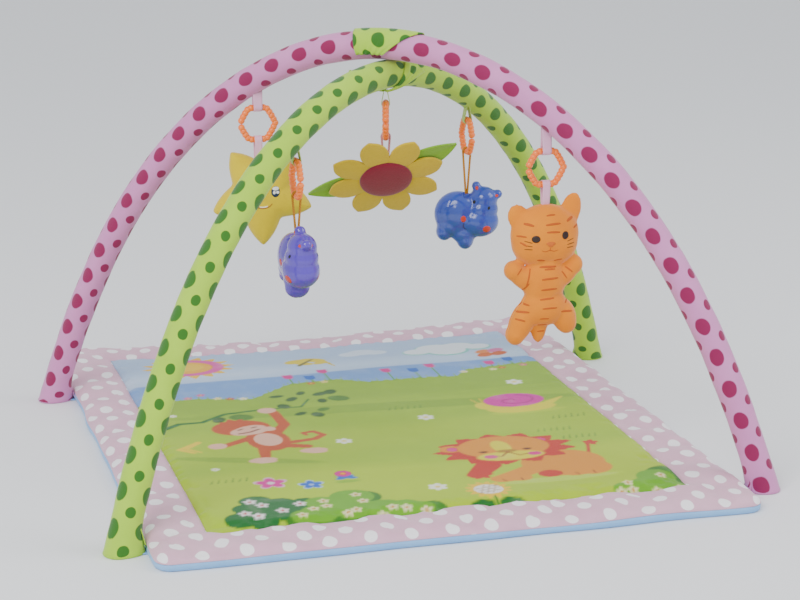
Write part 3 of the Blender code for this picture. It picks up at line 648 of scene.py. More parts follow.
# A branch with leaves, and a monkey that hangs from it with a bunch of bananas.
DARK_LEAF, MID_LEAF = "2F5A1E", "4F7F26"
art.line(
    [
        (-0.288, 0.003), (-0.268, 0.018), (-0.236, 0.018), (-0.200, 0.045),
        (-0.150, 0.052), (-0.090, 0.050), (-0.072, 0.082),
    ],
    0.010, "2A6A34", 0.003,
)
for x, y, half_x, half_y, turn, colour in (
    (-0.113, 0.106, 0.011, 0.006, 10, DARK_LEAF), (-0.095, 0.088, 0.012, 0.007, 50, DARK_LEAF),
    (-0.076, 0.114, 0.010, 0.006, 60, DARK_LEAF), (-0.050, 0.104, 0.013, 0.008, 30, DARK_LEAF),
    (-0.034, 0.110, 0.012, 0.009, 60, DARK_LEAF), (-0.055, 0.070, 0.010, 0.007, 80, DARK_LEAF),
    (-0.030, 0.076, 0.016, 0.013, -30, MID_LEAF), (-0.113, 0.058, 0.009, 0.011, 20, DARK_LEAF),
    (-0.098, 0.020, 0.010, 0.006, 30, DARK_LEAF), (-0.076, 0.010, 0.009, 0.011, 20, DARK_LEAF),
    (-0.063, 0.030, 0.010, 0.007, 30, MID_LEAF), (-0.212, 0.022, 0.012, 0.009, 60, DARK_LEAF),
    (-0.180, 0.026, 0.017, 0.013, -20, MID_LEAF),
):
    art.oval(x, y, half_x, half_y, colour, turn)
FUR, SKIN = "C4501C", "EFC7B4"
art.line([(-0.150, -0.055), (-0.130, -0.020), (-0.133, 0.036)], 0.017, FUR, 0.015)
tail = [
    (-0.138, -0.100), (-0.105, -0.093), (-0.090, -0.078),
    (-0.100, -0.060), (-0.115, -0.064), (-0.112, -0.074),
]
art.line(tail, 0.012, FUR, 0.006)
art.line([(-0.190, -0.070), (-0.228, -0.092)], 0.015, FUR, 0.013)
art.line([(-0.178, -0.110), (-0.184, -0.148)], 0.018, FUR, 0.014)
art.line([(-0.158, -0.108), (-0.122, -0.122)], 0.018, FUR, 0.014)
art.oval(-0.166, -0.082, 0.029, 0.046, FUR)
art.oval(-0.166, -0.080, 0.019, 0.028, SKIN)
art.oval(-0.190, -0.020, 0.040, 0.033, FUR)
art.star(-0.195, 0.000, 0.022, 0.014, 7, FUR)
art.oval(-0.155, -0.034, 0.010, 0.010, SKIN)
art.oval(-0.182, -0.036, 0.028, 0.018, SKIN, 18)
art.oval(-0.178, -0.026, 0.022, 0.013, SKIN, 18)
art.line([(-0.198, -0.046), (-0.182, -0.042), (-0.168, -0.032)], 0.0035, "6B2A12")
art.line([(-0.196, -0.030), (-0.190, -0.026)], 0.0030, "5A3014")
art.line([(-0.176, -0.024), (-0.170, -0.021)], 0.0030, "5A3014")
for turn in (70, 95, 120, 145):
    curl = 0.026 * cos(radians(turn + 90))
    banana = [(-0.258, -0.068), (-0.262 + curl, -0.090), (-0.246 + curl, -0.108)]
    art.line(banana, 0.008, "F1D323", 0.003)
for x, y in ((-0.140, 0.046), (-0.236, -0.090)):
    art.oval(x, y, 0.013, 0.012, SKIN)
for x, y in ((-0.190, -0.160), (-0.118, -0.140)):
    art.oval(x, y, 0.019, 0.010, SKIN)
    art.oval(x + 0.004, y - 0.008, 0.013, 0.005, SKIN)

# A snail on the right.
art.oval(0.208, -0.052, 0.055, 0.009, "BFD65A")
art.oval(0.205, -0.034, 0.050, 0.020, "E4DC2A")
art.line([(0.250, -0.022), (0.275, -0.002)], 0.014, "E4DC2A", 0.003)
art.oval(0.157, -0.014, 0.013, 0.016, "E4DC2A")
art.line([(0.152, 0.0), (0.147, 0.018)], 0.003, "D2C81E")
art.line([(0.160, 0.0), (0.160, 0.020)], 0.003, "D2C81E")
art.oval(0.205, 0.001, 0.044, 0.029, "D86BB0")
spiral = [(0.203 + 0.0032 * t * cos(t) * 1.5, 0.001 + 0.0032 * t * sin(t)) for t in np.linspace(0.5, 7.5, 26)]
art.line(spiral, 0.0030, "B23A86")

# A lion cub that lies in the meadow.
MANE, COAT, MUZZLE = "C9270B", "E8982A", "E6DF6E"
art.oval(0.155, -0.330, 0.085, 0.010, "C6DC7A")
art.line([(0.225, -0.245), (0.236, -0.212)], 0.005, MANE)
art.star(0.242, -0.205, 0.012, 0.007, 5, MANE)
art.oval(0.180, -0.272, 0.055, 0.050, COAT)
art.oval(0.205, -0.300, 0.030, 0.026, COAT)
art.line([(0.085, -0.255), (0.058, -0.290)], 0.034, MANE, 0.026)
art.star(0.062, -0.290, 0.018, 0.011, 6, MANE)
art.line([(0.150, -0.275), (0.090, -0.310)], 0.032, COAT, 0.028)
art.oval(0.150, -0.308, 0.016, 0.013, MANE)
for x in (0.085, 0.108, 0.182, 0.205):
    art.oval(x, -0.312, 0.016, 0.013, COAT)
    art.line([(x, -0.314), (x + 0.001, -0.322)], 0.0022, "9A4A12")
art.star(0.125, -0.200, 0.098, 0.076, 13, MANE, 0.3, 0.62)
art.oval(0.055, -0.185, 0.015, 0.013, COAT)
art.oval(0.057, -0.187, 0.008, 0.008, "DE6FA0")
art.oval(0.180, -0.178, 0.010, 0.008, "DE6FA0", 30)
art.oval(0.125, -0.193, 0.062, 0.042, COAT)
art.oval(0.124, -0.228, 0.046, 0.017, MUZZLE)
art.oval(0.122, -0.192, 0.013, 0.024, MUZZLE)
art.oval(0.124, -0.210, 0.014, 0.006, "B08A2A")
art.line([(0.124, -0.214), (0.112, -0.228), (0.100, -0.226)], 0.0026, "8A3A12")
art.line([(0.124, -0.214), (0.136, -0.228), (0.148, -0.226)], 0.0026, "8A3A12")
for x in (0.097, 0.157):
    art.oval(x, -0.227, 0.009, 0.007, "DE6FA0")
for x in (0.093, 0.153):
    art.oval(x, -0.207, 0.006, 0.0035, "5A2A10")

# Bushes, flowers and tufts of grass along the front.
BUSH, BUSH_LIGHT, BUSH_SHADE = "2F6B3A", "6FB02A", "3E7C28"
art.lumps(
    ((-0.262, -0.365, 0.020), (-0.250, -0.335, 0.017), (-0.233, -0.312, 0.021),
     (-0.205, -0.325, 0.020), (-0.235, -0.350, 0.030), (-0.200, -0.355, 0.030),
     (-0.175, -0.330, 0.018), (-0.235, -0.375, 0.018), (-0.190, -0.365, 0.022)),
    BUSH,
)
art.lumps(
    ((-0.190, -0.385, 0.020), (-0.150, -0.385, 0.026), (-0.100, -0.388, 0.026), (-0.050, -0.388, 0.026),
     (-0.105, -0.330, 0.026), (-0.030, -0.385, 0.022)),
    BUSH_SHADE,
)
art.lumps(
    ((-0.185, -0.372, 0.018), (-0.155, -0.335, 0.022), (-0.165, -0.365, 0.024), (-0.115, -0.325, 0.028),
     (-0.125, -0.358, 0.030), (-0.085, -0.368, 0.026), (-0.060, -0.372, 0.022), (-0.040, -0.378, 0.016)),
    BUSH_LIGHT,
)
art.lumps(((0.292, -0.345, 0.026), (0.300, -0.385, 0.024), (0.215, -0.400, 0.014)), BUSH_SHADE)
art.lumps(
    ((0.275, -0.355, 0.026), (0.255, -0.378, 0.024), (0.228, -0.382, 0.020),
     (0.205, -0.398, 0.013), (0.290, -0.385, 0.022)),
    BUSH_LIGHT,
)
for x, y in (
    (-0.240, -0.312), (-0.228, -0.327), (-0.182, -0.333),
    (-0.254, -0.350), (-0.240, -0.361), (-0.208, -0.350),
):
    art.blossom(x, y, 0.0085, "F7F3F3", "C9474F")
for x, y in (
    (-0.152, -0.330), (-0.108, -0.318), (-0.105, -0.342), (-0.170, -0.354), (-0.152, -0.348),
    (-0.188, -0.370), (-0.132, -0.374), (-0.120, -0.368), (-0.075, -0.370), (-0.058, -0.374),
    (-0.035, -0.382), (-0.090, -0.384), (0.282, -0.352), (0.232, -0.366), (0.218, -0.384),
    (0.234, -0.382), (0.265, -0.388), (0.295, -0.388), (0.196, -0.398),
):
    art.blossom(x, y, 0.0078, "F3EFC2", "C98A4A")
art.blossom(-0.200, -0.250, 0.0180, "E05FA8", "F7E9F2", edge="F0C6DC")
art.blossom(-0.152, -0.268, 0.0140, "3F6FD0", "B9CBEF", edge="C9DDF4")
art.oval(-0.105, -0.252, 0.014, 0.005, "4A78D0", 25)
art.oval(-0.102, -0.252, 0.014, 0.005, "4A78D0", -25)
art.oval(-0.104, -0.238, 0.011, 0.011, "D4479A")
art.oval(-0.104, -0.238, 0.004, 0.004, "F2B64A")
art.oval(-0.105, -0.268, 0.016, 0.005, "8FBC2A")
for x, y, size in (
    (0.233, 0.082, 0.013), (0.063, -0.044, 0.012), (-0.070, -0.112, 0.012),
    (-0.003, -0.320, 0.013), (-0.256, -0.178, 0.006), (-0.270, 0.055, 0.006),
):
    art.blossom(x, y, size, "F7FAEC", "F0E08A", 6)
for x, y in ((0.045, 0.003), (0.252, -0.090), (0.213, -0.140), (0.236, -0.176), (-0.250, -0.228)):
    for k in range(6):
        left = x - 0.022 + 0.009 * k
        art.line([(left, y - 0.004), (left + 0.004, y + 0.007 + 0.003 * (k % 2))], 0.0022, "5F8F1E", 0.001)
art.line([(0.055, -0.365), (0.055, -0.398)], 0.003, "3E7C28")
for side in (-1, 1):
    art.oval(0.055 + side * 0.020, -0.385, 0.017, 0.009, "23692E", side * -8)
    art.line([(0.058, -0.385), (0.055 + side * 0.034, -0.385)], 0.0015, "5FA04A")
art.star(0.055, -0.346, 0.031, 0.022, 14, "F2CB22")
art.oval(0.055, -0.346, 0.019, 0.018, "F4F2EA")
for k in (-1, 0, 1):
    art.line([(0.055 + 0.008 * k - 0.006, -0.360), (0.055 + 0.008 * k + 0.006, -0.332)], 0.0016, "B9A98F")
    art.line([(0.040, -0.346 + 0.008 * k - 0.004), (0.070, -0.346 + 0.008 * k + 0.004)], 0.0016, "B9A98F")

inks = panel.data.color_attributes.new("print", "FLOAT_COLOR", "POINT")
inks.data.foreach_set("color", np.column_stack([art.ink, np.ones(len(art.ink))]).astype(np.float32).ravel())
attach(panel, "mat")
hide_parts("mat_panel", "mat_batting")

# ---------------------------------------------------------------- backing
# One sheet of light-blue cloth under the whole mat, turned up round the edge to the border.
BACKING_LOOPS = 260
BACKING_RIM = EDGE_HEIGHT - 0.0006
# (in from the edge, above the floor), up the outer side and down the inner one
BACKING_OUTER = ((0.0, BACKING_RIM), (-0.0007, 0.0062), (-0.0002, 0.0026), (0.0018, 0.0006), (0.0050, 0.0))
BACKING_INNER = (
    (0.0066, 0.0012), (0.0032, 0.0014), (0.0012, 0.0030), (0.0006, 0.0062), (0.0012, BACKING_RIM),
)

backing_cloth, tree, shader = plain("light_blue_cotton", "9CC3E8", 0.8)
place = add(tree, "ShaderNodeTexCoord").outputs["Object"]
folds = weave(tree, shader, place)
# Painted shade and highlight: the blue is darker in the crease hollows and lighter on their crests.
tree.links.new(blend_colour(tree, folds, "74ABE0", "92C0EC"), shader.inputs["Base Color"])
shader.inputs["Sheen Weight"].default_value = 0.2


def outline(inset):
    """The mat's outline, moved in by inset, as evenly spread points."""
    per_side = BACKING_LOOPS // 4
    step = np.linspace(-1, 1, per_side, endpoint=False)
    square = np.concatenate(
        [
            np.stack([step, -np.ones_like(step)], -1),
            np.stack([np.ones_like(step), step], -1),
            np.stack([-step, np.ones_like(step)], -1),
            np.stack([-np.ones_like(step), -step], -1),
        ]
    )
    x, y, _ = to_corner(square[:, 0] * HALF_W, square[:, 1] * HALF_D)
    reach = np.hypot(x, y)
    lie_x, lie_y = lie(x, y)
    return lie_x - inset * x / reach, lie_y - inset * y / reach


profile = BACKING_OUTER + BACKING_INNER
rings = []
for inset, height in profile:
    x, y = outline(inset)
    middle = (1 - (x / HALF_W) ** 2) * ease(y, 0.16, HALF_D)
    lift = (0.0012 * wander(x, y, 0.06, 3.0) - 0.45 * SAG * middle) * (height / EDGE_HEIGHT)
    rings.append(np.stack([x, y, np.maximum(height + lift, 0.0 if height == 0 else 0.0004)], -1))
count = len(rings[0])
points = np.concatenate(rings)
faces = []
for k in range(len(rings) - 1):
    for i in range(count):
        j = (i + 1) % count
        faces.append((k * count + j, k * count + i, (k + 1) * count + i, (k + 1) * count + j))
first, last = 4, 5
flat_faces = [f for k, f in enumerate(faces) if not first * count <= k < last * count]
for i in range(count):
    j = (i + 1) % count
    top = (len(rings) - 1) * count
    flat_faces.append((i, j, top + j, top + i))
flat_faces.append(tuple(range(last * count, (last + 1) * count)))
flat_faces.append(tuple(reversed(range(first * count, (first + 1) * count))))
backing = solid("backing", points, flat_faces, backing_cloth)
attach(backing, "mat")
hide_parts("mat_backing")

# ---------------------------------------------------------------- arch sleeves
# Two tubes of spotted cotton over foam and a bent rod. They cross at the top, the pink one
# over the green, and stand on closed, slightly flared feet beside the mat.
ARCH_CENTRE_Y = -0.068
FOOT_REACH_X, FOOT_REACH_Y = 0.412, 0.3165
ARCH_FALL = (0.765, 0.017, 0.218)
APEX = {"pink": 0.541, "green": 0.5025}
SIDE = {"pink": -1, "green": 1}
TUBE_RADIUS = 0.01875
SLEEVE_STEP = 0.0055
SLEEVE_SIDES = 30
FOOT_LEVEL = 0.034  # below this height the rings turn level with the floor
FOOT_FLARE = {-1: 0.0110, 1: 0.0045}  # towards the mat, on the left and on the right
FOOT_HEIGHT = 0.050
DOT_PITCH = 0.0430


def arch_point(colour, share):
    """A point of an arch's middle line, at a share of the way from its top to a foot."""
    a, b, c = ARCH_FALL
    fall = a * share**2 + b * share**4 + c * share**6
    y = ARCH_CENTRE_Y + SIDE[colour] * FOOT_REACH_Y * share
    return Vector((FOOT_REACH_X * share, y, APEX[colour] * (1 - fall)))


def arch_across(colour):
    """The level direction square to the arch's plane."""
    return Vector((SIDE[colour] * FOOT_REACH_Y, -FOOT_REACH_X, 0)).normalized()


def even_shares(colour, low, high, step):
    fine = np.linspace(low, high, 1200)
    line = np.array([arch_point(colour, share) for share in fine])
    run = np.concatenate([[0], np.cumsum(np.linalg.norm(np.diff(line, axis=0), axis=1))])
    marks = np.linspace(0, run[-1], int(run[-1] / step) + 1)
    return np.interp(marks, run, fine), marks


def arch_frame(colour, share):
    """The middle line's point, its direction, and outward and across directions."""
    here = arch_point(colour, share)
    along = (arch_point(colour, share + 1e-4) - arch_point(colour, share - 1e-4)).normalized()
    across = arch_across(colour)
    outward = across.cross(along).normalized()
    if outward.z < 0 and abs(share) < 0.9:
        outward, across = -outward, -across
    return here, along, outward, across


def make_sleeve(colour, material):
    shares, marks = even_shares(colour, -1.0, 1.0, SLEEVE_STEP)
    points, flat = [], []
    around = [2 * pi * k / SLEEVE_SIDES for k in range(SLEEVE_SIDES)]
    across = arch_across(colour)
    for share, mark in zip(shares, marks):
        here, along, _, _ = arch_frame(colour, share)
        level = Vector((0, 0, -1 if share > 0 else 1))
        turn = max(0.0, 1 - here.z / FOOT_LEVEL)
        along = along.lerp(level, turn * turn * (3 - 2 * turn)).normalized()
        outward = across.cross(along).normalized()
        towards_mat = Vector((-1 if here.x > 0 else 1, 0, 0))
        flare = FOOT_FLARE[1 if here.x > 0 else -1] * max(0.0, 1 - here.z / FOOT_HEIGHT) ** 2
        for angle in around:
            way = outward * cos(angle) + across * sin(angle)
            spot = here + way * TUBE_RADIUS
            slack = noise.noise(spot * 26) * 0.0007 + noise.noise(spot * 70) * 0.0003
            widen = 0.0012 * max(0.0, 1 - here.z / 0.03)
            spot = spot + way * (slack + widen) + towards_mat * flare * max(0.0, way.dot(towards_mat))
            points.append((spot.x, spot.y, max(spot.z, 0.0)))
            flat.append((mark, angle * TUBE_RADIUS))
    rows = len(shares)
    sides = SLEEVE_SIDES
    faces, corners = [], []
    girth = 2 * pi * TUBE_RADIUS
    for i in range(rows - 1):
        for k in range(sides):
            n = (k + 1) % sides
            face = (i * sides + k, i * sides + n, (i + 1) * sides + n, (i + 1) * sides + k)
            faces.append(face)
            far = girth if n == 0 else flat[face[1]][1]
            corners.append(
                [flat[face[0]], (flat[face[1]][0], far), (flat[face[2]][0], far), flat[face[3]]]
            )
    for end in (0, rows - 1):
        ring = [Vector(points[end * sides + k]) for k in range(sides)]
        centre = sum(ring, Vector()) / sides
        for k in range(sides):
            points[end * sides + k] = tuple(ring[k] + Vector((0, 0, 0.0022)))
        loops = [[end * sides + k for k in range(sides)]]
        for shrink, height in ((0.97, 0.0007), (0.89, 0.0), (0.5, 0.0)):
            start = len(points)
            points += [
                (centre.x + (p.x - centre.x) * shrink, centre.y + (p.y - centre.y) * shrink, height)
                for p in ring
            ]
            loops.append(list(range(start, start + sides)))
        for outer, inner in zip(loops, loops[1:]):
            for k in range(sides):
                n = (k + 1) % sides
                quad = (outer[k], inner[k], inner[n], outer[n])
                if end:
                    quad = quad[::-1]
                faces.append(quad)
                corners.append([(0.0, 0.0)] * 4)
        last = loops[-1] if end else loops[-1][::-1]
        faces.append(tuple(last))
        corners.append([(0.0, 0.0)] * sides)
    made = solid(f"{colour}_arch_sleeve", points, faces, material)
    bm = bmesh.new()
    bm.from_mesh(made.data)
    bm.normal_update()
    volume = bm.calc_volume(signed=True)
    bm.free()
    layer = made.data.uv_layers.new(name="cloth")
    layer.data.foreach_set(
        "uv", np.array([uv for face in corners for uv in face], np.float32).ravel()
    )
    if volume < 0:
        made.data.flip_normals()
    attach(made, f"{colour}_arch")
    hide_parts(f"{colour}_sleeve", f"{colour}_foam")
    return made


def spotted_cotton(name, ground, ground_crest_lit, dot, phase):
    """Cotton with six rows of dots round the tube, large and small rows in turn."""
    material, tree, shader = plain(name, ground, 0.82)
    place, u, v = wobbly_map(tree, "cloth", 0.0030, 55.0)
    third = 2 * pi * TUBE_RADIUS / 3
    large = spots(tree, u, v, DOT_PITCH, third, 0.0112, 0.0094, phase[0], phase[1])
    small = spots(tree, u, v, DOT_PITCH, third, 0.0068, 0.0060, phase[0] + 0.5, phase[1] + 0.5)
    both = sums(tree, "MAXIMUM", large, small)
    folds = weave(tree, shader, place, crease=0.0006)
    # Painted shade and highlight: the ground is darker in the crease hollows and lighter on their crests.
    base = blend_colour(tree, folds, ground, ground_crest_lit)
    tree.links.new(blend_colour(tree, both, base, dot), shader.inputs["Base Color"])
    shader.inputs["Sheen Weight"].default_value = 0.25
    shader.inputs["Sheen Roughness"].default_value = 0.45
    return material


# The second colour of each cloth is its ground lit on the crease crests, a painted highlight.
SLEEVE_CLOTH = {
    "pink": spotted_cotton("pink_spotted_cotton", "C87AB2", "D88EC2", "8A0C4C", (0.1, 0.35)),
    "green": spotted_cotton("lime_spotted_cotton", "9CC81E", "B0D838", "2C6C0A", (0.3, 0.1)),
}
for colour in ("pink", "green"):
    make_sleeve(colour, SLEEVE_CLOTH[colour])

# The foam, the rods and the ferrule that joins them are inside the sleeves.
rod_plastic, tree, shader = plain("white_rod_plastic", "E9E8E2", 0.35)
grain = add(
    tree,
    "ShaderNodeTexNoise",
    {"Vector": add(tree, "ShaderNodeTexCoord").outputs["Object"], "Scale": 400.0},
)
rough = add(
    tree,
    "ShaderNodeMapRange",
    {"Value": grain.outputs["Fac"], "To Min": 0.28, "To Max": 0.45},
)
tree.links.new(rough.outputs["Result"], shader.inputs["Roughness"])
for colour in ("pink", "green"):
    for part in ("rod_left", "rod_right", "ferrule"):
        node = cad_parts[f"{colour}_{part}"]
        for i in range(max(1, len(node.material_slots))):
            if node.material_slots:
                node.material_slots[i].material = rod_plastic
            else:
                node.data.materials.append(rod_plastic)


# ---------------------------------------------------------------- foot tongues and mat tabs
# A triangular tongue of each sleeve's cloth reaches from the foot to the mat's edge, and
# presses on a light-blue tab of the backing with hook-and-loop tape.
TONGUE_TOP = 0.030
TONGUE_ROWS, TONGUE_COLS = 9, 8
FEET = {
    "front_left": (-1, -1, "green"),
    "back_right": (1, 1, "green"),
    "front_right": (1, -1, "pink"),
    "back_left": (-1, 1, "pink"),
}


def strip(name, rows, thickness, material):
    """A closed strip of cloth. rows are lists of points across it, one list for each step."""
    rows = [[Vector(p) for p in row] for row in rows]
    count, wide = len(rows), len(rows[0])
    normals = []
    for i in range(count):
        ahead, behind = rows[min(i + 1, count - 1)], rows[max(i - 1, 0)]
        line = []
        for k in range(wide):
            along = ahead[k] - behind[k]
            over = rows[i][min(k + 1, wide - 1)] - rows[i][max(k - 1, 0)]
            line.append(along.cross(over).normalized())
        normals.append(line)
    points = []
    for side in (0.5, -0.5):
        for row, line in zip(rows, normals):
            points += [p + n * thickness * side for p, n in zip(row, line)]
    half = count * wide
    faces = []
    for i in range(count - 1):
        for k in range(wide - 1):
            a, b, c, d = i * wide + k, i * wide + k + 1, (i + 1) * wide + k + 1, (i + 1) * wide + k
            faces += [(a, b, c, d), (d + half, c + half, b + half, a + half)]
    for i in range(count - 1):
        a, b = i * wide, (i + 1) * wide
        faces.append((a, b, b + half, a + half))
        a, b = i * wide + wide - 1, (i + 1) * wide + wide - 1
        faces.append((b, a, a + half, b + half))
    for k in range(wide - 1):
        faces.append((k + 1, k, k + half, k + 1 + half))
        a = (count - 1) * wide + k
        faces.append((a, a + 1, a + 1 + half, a + half))
    made = solid(name, points, faces, material)
    faced_out(made)
    run = np.cumsum([0.0] + [(rows[i + 1][wide // 2] - rows[i][wide // 2]).length for i in range(count - 1)])
    flat = [
        (run[i], (rows[i][k] - rows[i][0]).length) for i in range(count) for k in range(wide)
    ]
    cloth_map(made, np.array(flat + flat))
    return made


for name, (x_side, y_side, colour) in FEET.items():
    foot_y = ARCH_CENTRE_Y + y_side * FOOT_REACH_Y
    near_foot = FOOT_REACH_X - TUBE_RADIUS - FOOT_FLARE[x_side] * 0.6
    near_mat = HALF_W + 0.0030 + x_side * 0.004
    rows = []
    for i in range(TONGUE_ROWS):
        t = i / (TONGUE_ROWS - 1)
        x = near_foot + (near_mat - near_foot) * t ** 0.8
        z = 0.0035 + (TONGUE_TOP - 0.0035) * (1 - t) ** 1.8
        half = 0.0045 + (0.0125 - 0.0045) * t ** 1.3
        row = []
        for k in range(TONGUE_COLS):
            w = 2 * k / (TONGUE_COLS - 1) - 1
            row.append((x_side * x, foot_y + half * w, z + 0.0012 * (1 - w**2) * (1 - t)))
        rows.append(row)
    tongue = strip(f"{colour}_tongue_{name}_cloth", rows, 0.0014, SLEEVE_CLOTH[colour])
    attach(tongue, f"{colour}_arch")
    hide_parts(f"{colour}_tongue_{name}")
    low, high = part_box(f"mat_tab_{name}")
    reach = sorted((x_side * (HALF_W - 0.004), x_side * near_foot))
    rows = []
    for i in range(10):
        x = reach[0] + (reach[1] - reach[0]) * i / 9
        rows.append([(x, low.y + (high.y - low.y) * k / 6, 0.0011 + 0.0004 * sin(i * 0.9)) for k in range(7)])
    tab = strip(f"tab_{name}_cloth", rows, 0.0012, backing_cloth)
    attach(tab, "mat")
    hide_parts(f"mat_tab_{name}")

# ---------------------------------------------------------------- crossing band
# A band of the lime cloth wraps over the pink tube where the arches cross. Its lower edges
# are creased and drawn together on the green tube below.
BAND_AROUND, BAND_ALONG = 34, 26
BAND_LOW = radians(118)  # how far down each side it comes from the top
BAND_LEFT, BAND_RIGHT = -0.040, 0.048
BAND_CUT = 0.044  # how much shorter the right end is at the front, and the left end at the back


def band_point(along_share, around_share):
    """A point of the band; both shares run from -1 to 1."""
    angle = around_share * BAND_LOW
    low = abs(around_share) ** 1.2
    left = BAND_LEFT + (BAND_CUT * low if around_share < 0 else 0.006 * low)
    right = BAND_RIGHT - (BAND_CUT * low if around_share > 0 else 0.006 * low)
    offset = left + (right - left) * (along_share + 1) / 2
    share = offset / hypot(FOOT_REACH_X, FOOT_REACH_Y)
    here, along, outward, across = arch_frame("pink", share)
    ruck = 0.0008 * sin(16 * along_share + 5 * around_share) * low
    radius = TUBE_RADIUS + 0.0022 + ruck + 0.0012 * max(0.0, abs(around_share) - 0.75) * 4
    return here + (outward * cos(angle) + across * sin(angle)) * radius


rows = [
    [band_point(2 * k / BAND_ALONG - 1, 2 * i / BAND_AROUND - 1) for k in range(BAND_ALONG + 1)]
    for i in range(BAND_AROUND + 1)
]
crossing_band = strip("crossing_band", rows, 0.0016, SLEEVE_CLOTH["green"])
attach(crossing_band, "pink_arch")
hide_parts("apex_band")

# The same cloth is gathered into pleats that run down the front and back of the green tube
# to its underside, where the flower's strap starts.
GATHER_STEPS, GATHER_ACROSS = 26, 15
for label, turn in (("front", 1), ("back", -1)):
    rows = []
    for i in range(GATHER_STEPS + 1):
        part = i / GATHER_STEPS
        share = turn * 0.040 * (1 - part) ** 1.1 / hypot(FOOT_REACH_X, FOOT_REACH_Y)
        here, along, outward, across = arch_frame("green", share)
        faces_viewer = 1 if across.y * turn < 0 else -1
        middle = radians(62 + 112 * part)
        half = 0.0150 * (1 - part) ** 1.3 + 0.0045
        row = []
        for k in range(GATHER_ACROSS):
            w = 2 * k / (GATHER_ACROSS - 1) - 1
            angle = faces_viewer * (middle + 0.35 * half * w / TUBE_RADIUS * (1 - part))
            pleat = 0.0010 * (1 + cos(3.2 * pi * w)) + 0.0008 * part
            radius = TUBE_RADIUS + 0.0012 + pleat
            row.append(here + (outward * cos(angle) + across * sin(angle)) * radius + along * half * w)
        rows.append(row)
    gather = strip(f"gathered_cloth_{label}", rows, 0.0012, SLEEVE_CLOTH["green"])
    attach(gather, "green_arch")

# ---------------------------------------------------------------- hanging straps
# Short bands of cotton tape are sewn under the arches and go round the top of each ring.
# The flower's is a narrow loop in the gathered end of the crossing band.
HANGERS = {
    "star": ("pink", -0.356, 0.4257, 0.0),
    "tiger": ("pink", 0.424, 0.3954, 0.0),
    "violet_hippo": ("green", -0.356, 0.3945, 90.0),
    "blue_hippo": ("green", 0.357, 0.3945, 90.0),
    "flower": ("green", 0.0, 0.4424, 74.2),
}
RING_RADIUS, WIRE_RADIUS = 0.0218, 0.0033
TAPE_HALF, TAPE_THICK = 0.0058, 0.0009
TURN = WIRE_RADIUS + 0.0019

tape_finish = {}
# Each tape is painted darker in its crease hollows and lighter on their crests: painted shade and highlight.
for colour, light, dark in (("pink", "E7B8D3", "D99FC2"), ("green", "BFD876", "A6C659")):
    material, tree, shader = plain(f"{colour}_cotton_tape", light, 0.85)
    place = add(tree, "ShaderNodeUVMap", uv_map="cloth").outputs[0]
    folds = weave(tree, shader, place, thread=0.0009, depth=0.0002)
    tree.links.new(blend_colour(tree, folds, dark, light), shader.inputs["Base Color"])
    shader.inputs["Sheen Weight"].default_value = 0.2
    tape_finish[colour] = material


def hanger_matrix(toy):
    """From a hanger's own frame, with its origin at the ring's middle, to the gym's."""
    colour, share, height, yaw = HANGERS[toy]
    line = arch_point(colour, share)
    return Matrix.Translation((line.x, line.y, height)) @ Matrix.Rotation(radians(yaw), 4, "Z")


def tape_rows(profile, half_widths, matrix, across=7):
    """Rows for strip() from (y, z) points, each with its own half width along X."""
    rows = []
    for (y, z), half in zip(profile, half_widths):
        rows.append(
            [
                matrix @ Vector((half * (2 * k / (across - 1) - 1), y, z + 0.0004 * (k % (across - 1) == 0)))
                for k in range(across)
            ]
        )
    return rows


def smooth_path(points, steps=4):
    """More points on a rounded line through the given ones."""
    points = [Vector(p) for p in points]
    line = []
    for i in range(len(points) - 1):
        p0, p1 = points[max(i - 1, 0)], points[i]
        p2, p3 = points[i + 1], points[min(i + 2, len(points) - 1)]
        for k in range(steps):
            t = k / steps
            line.append(
                0.5
                * (
                    2 * p1
                    + (p2 - p0) * t
                    + (2 * p0 - 5 * p1 + 4 * p2 - p3) * t**2
                    + (3 * p1 - p0 - 3 * p2 + p3) * t**3
                )
            )
    return line + [points[-1]]


for toy, (colour, share, height, yaw) in HANGERS.items():
    matrix = hanger_matrix(toy)
    top = arch_point(colour, share).z - height - TUBE_RADIUS * (1.02 if toy == "flower" else 0.94)
    wire = RING_RADIUS
    loop = [(0.0016, top), (TURN * 0.75, wire + 0.008), (TURN, wire + 0.001)]
    loop += [(TURN * cos(a), wire - TURN * sin(a)) for a in np.linspace(0.35, pi - 0.35, 7)]
    loop += [(-TURN, wire + 0.001), (-TURN * 0.75, wire + 0.008), (-0.0016, top)]
    line = [(p.x, p.y) for p in smooth_path([(y, z, 0) for y, z in loop], 3)]
    widest = 0.0030 if toy == "flower" else TAPE_HALF
    flare = 1.0 if toy == "flower" else 1.16
    halves = [widest * (1 + (flare - 1) * max(0.0, (z - wire) / (top - wire))) for _, z in line]
    strap = strip(f"{toy}_strap_tape", tape_rows(line, halves, matrix), TAPE_THICK, tape_finish[colour])
    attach(strap, f"{colour}_arch")
    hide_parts(f"{toy}_strap")

# ---------------------------------------------------------------- toy rings
# Each toy hangs on a knobbly six-sided link of orange plastic, open at one side so that it
# can be sprung on and off its strap.
RING_CORNER = 0.0246
RING_GAP = radians(24)
KNOB_STEP = 0.0056
KNOB_RADIUS = 0.0047
CORE_RADIUS = 0.0034

ring_plastic, tree, shader = plain("orange_plastic", "F85400", 0.32)
place = add(tree, "ShaderNodeTexCoord").outputs["Object"]
tint = add(tree, "ShaderNodeTexNoise", {"Vector": place, "Scale": 160.0, "Detail": 2.0})
tree.links.new(
    blend_colour(tree, tint.outputs["Fac"], "FF6A10", "FF8A2C"), shader.inputs["Base Color"]
)
shader.inputs["Coat Weight"].default_value = 0.25
shader.inputs["Subsurface Weight"].default_value = 0.08
shader.inputs["Subsurface Radius"].default_value = (0.004, 0.0015, 0.0005)


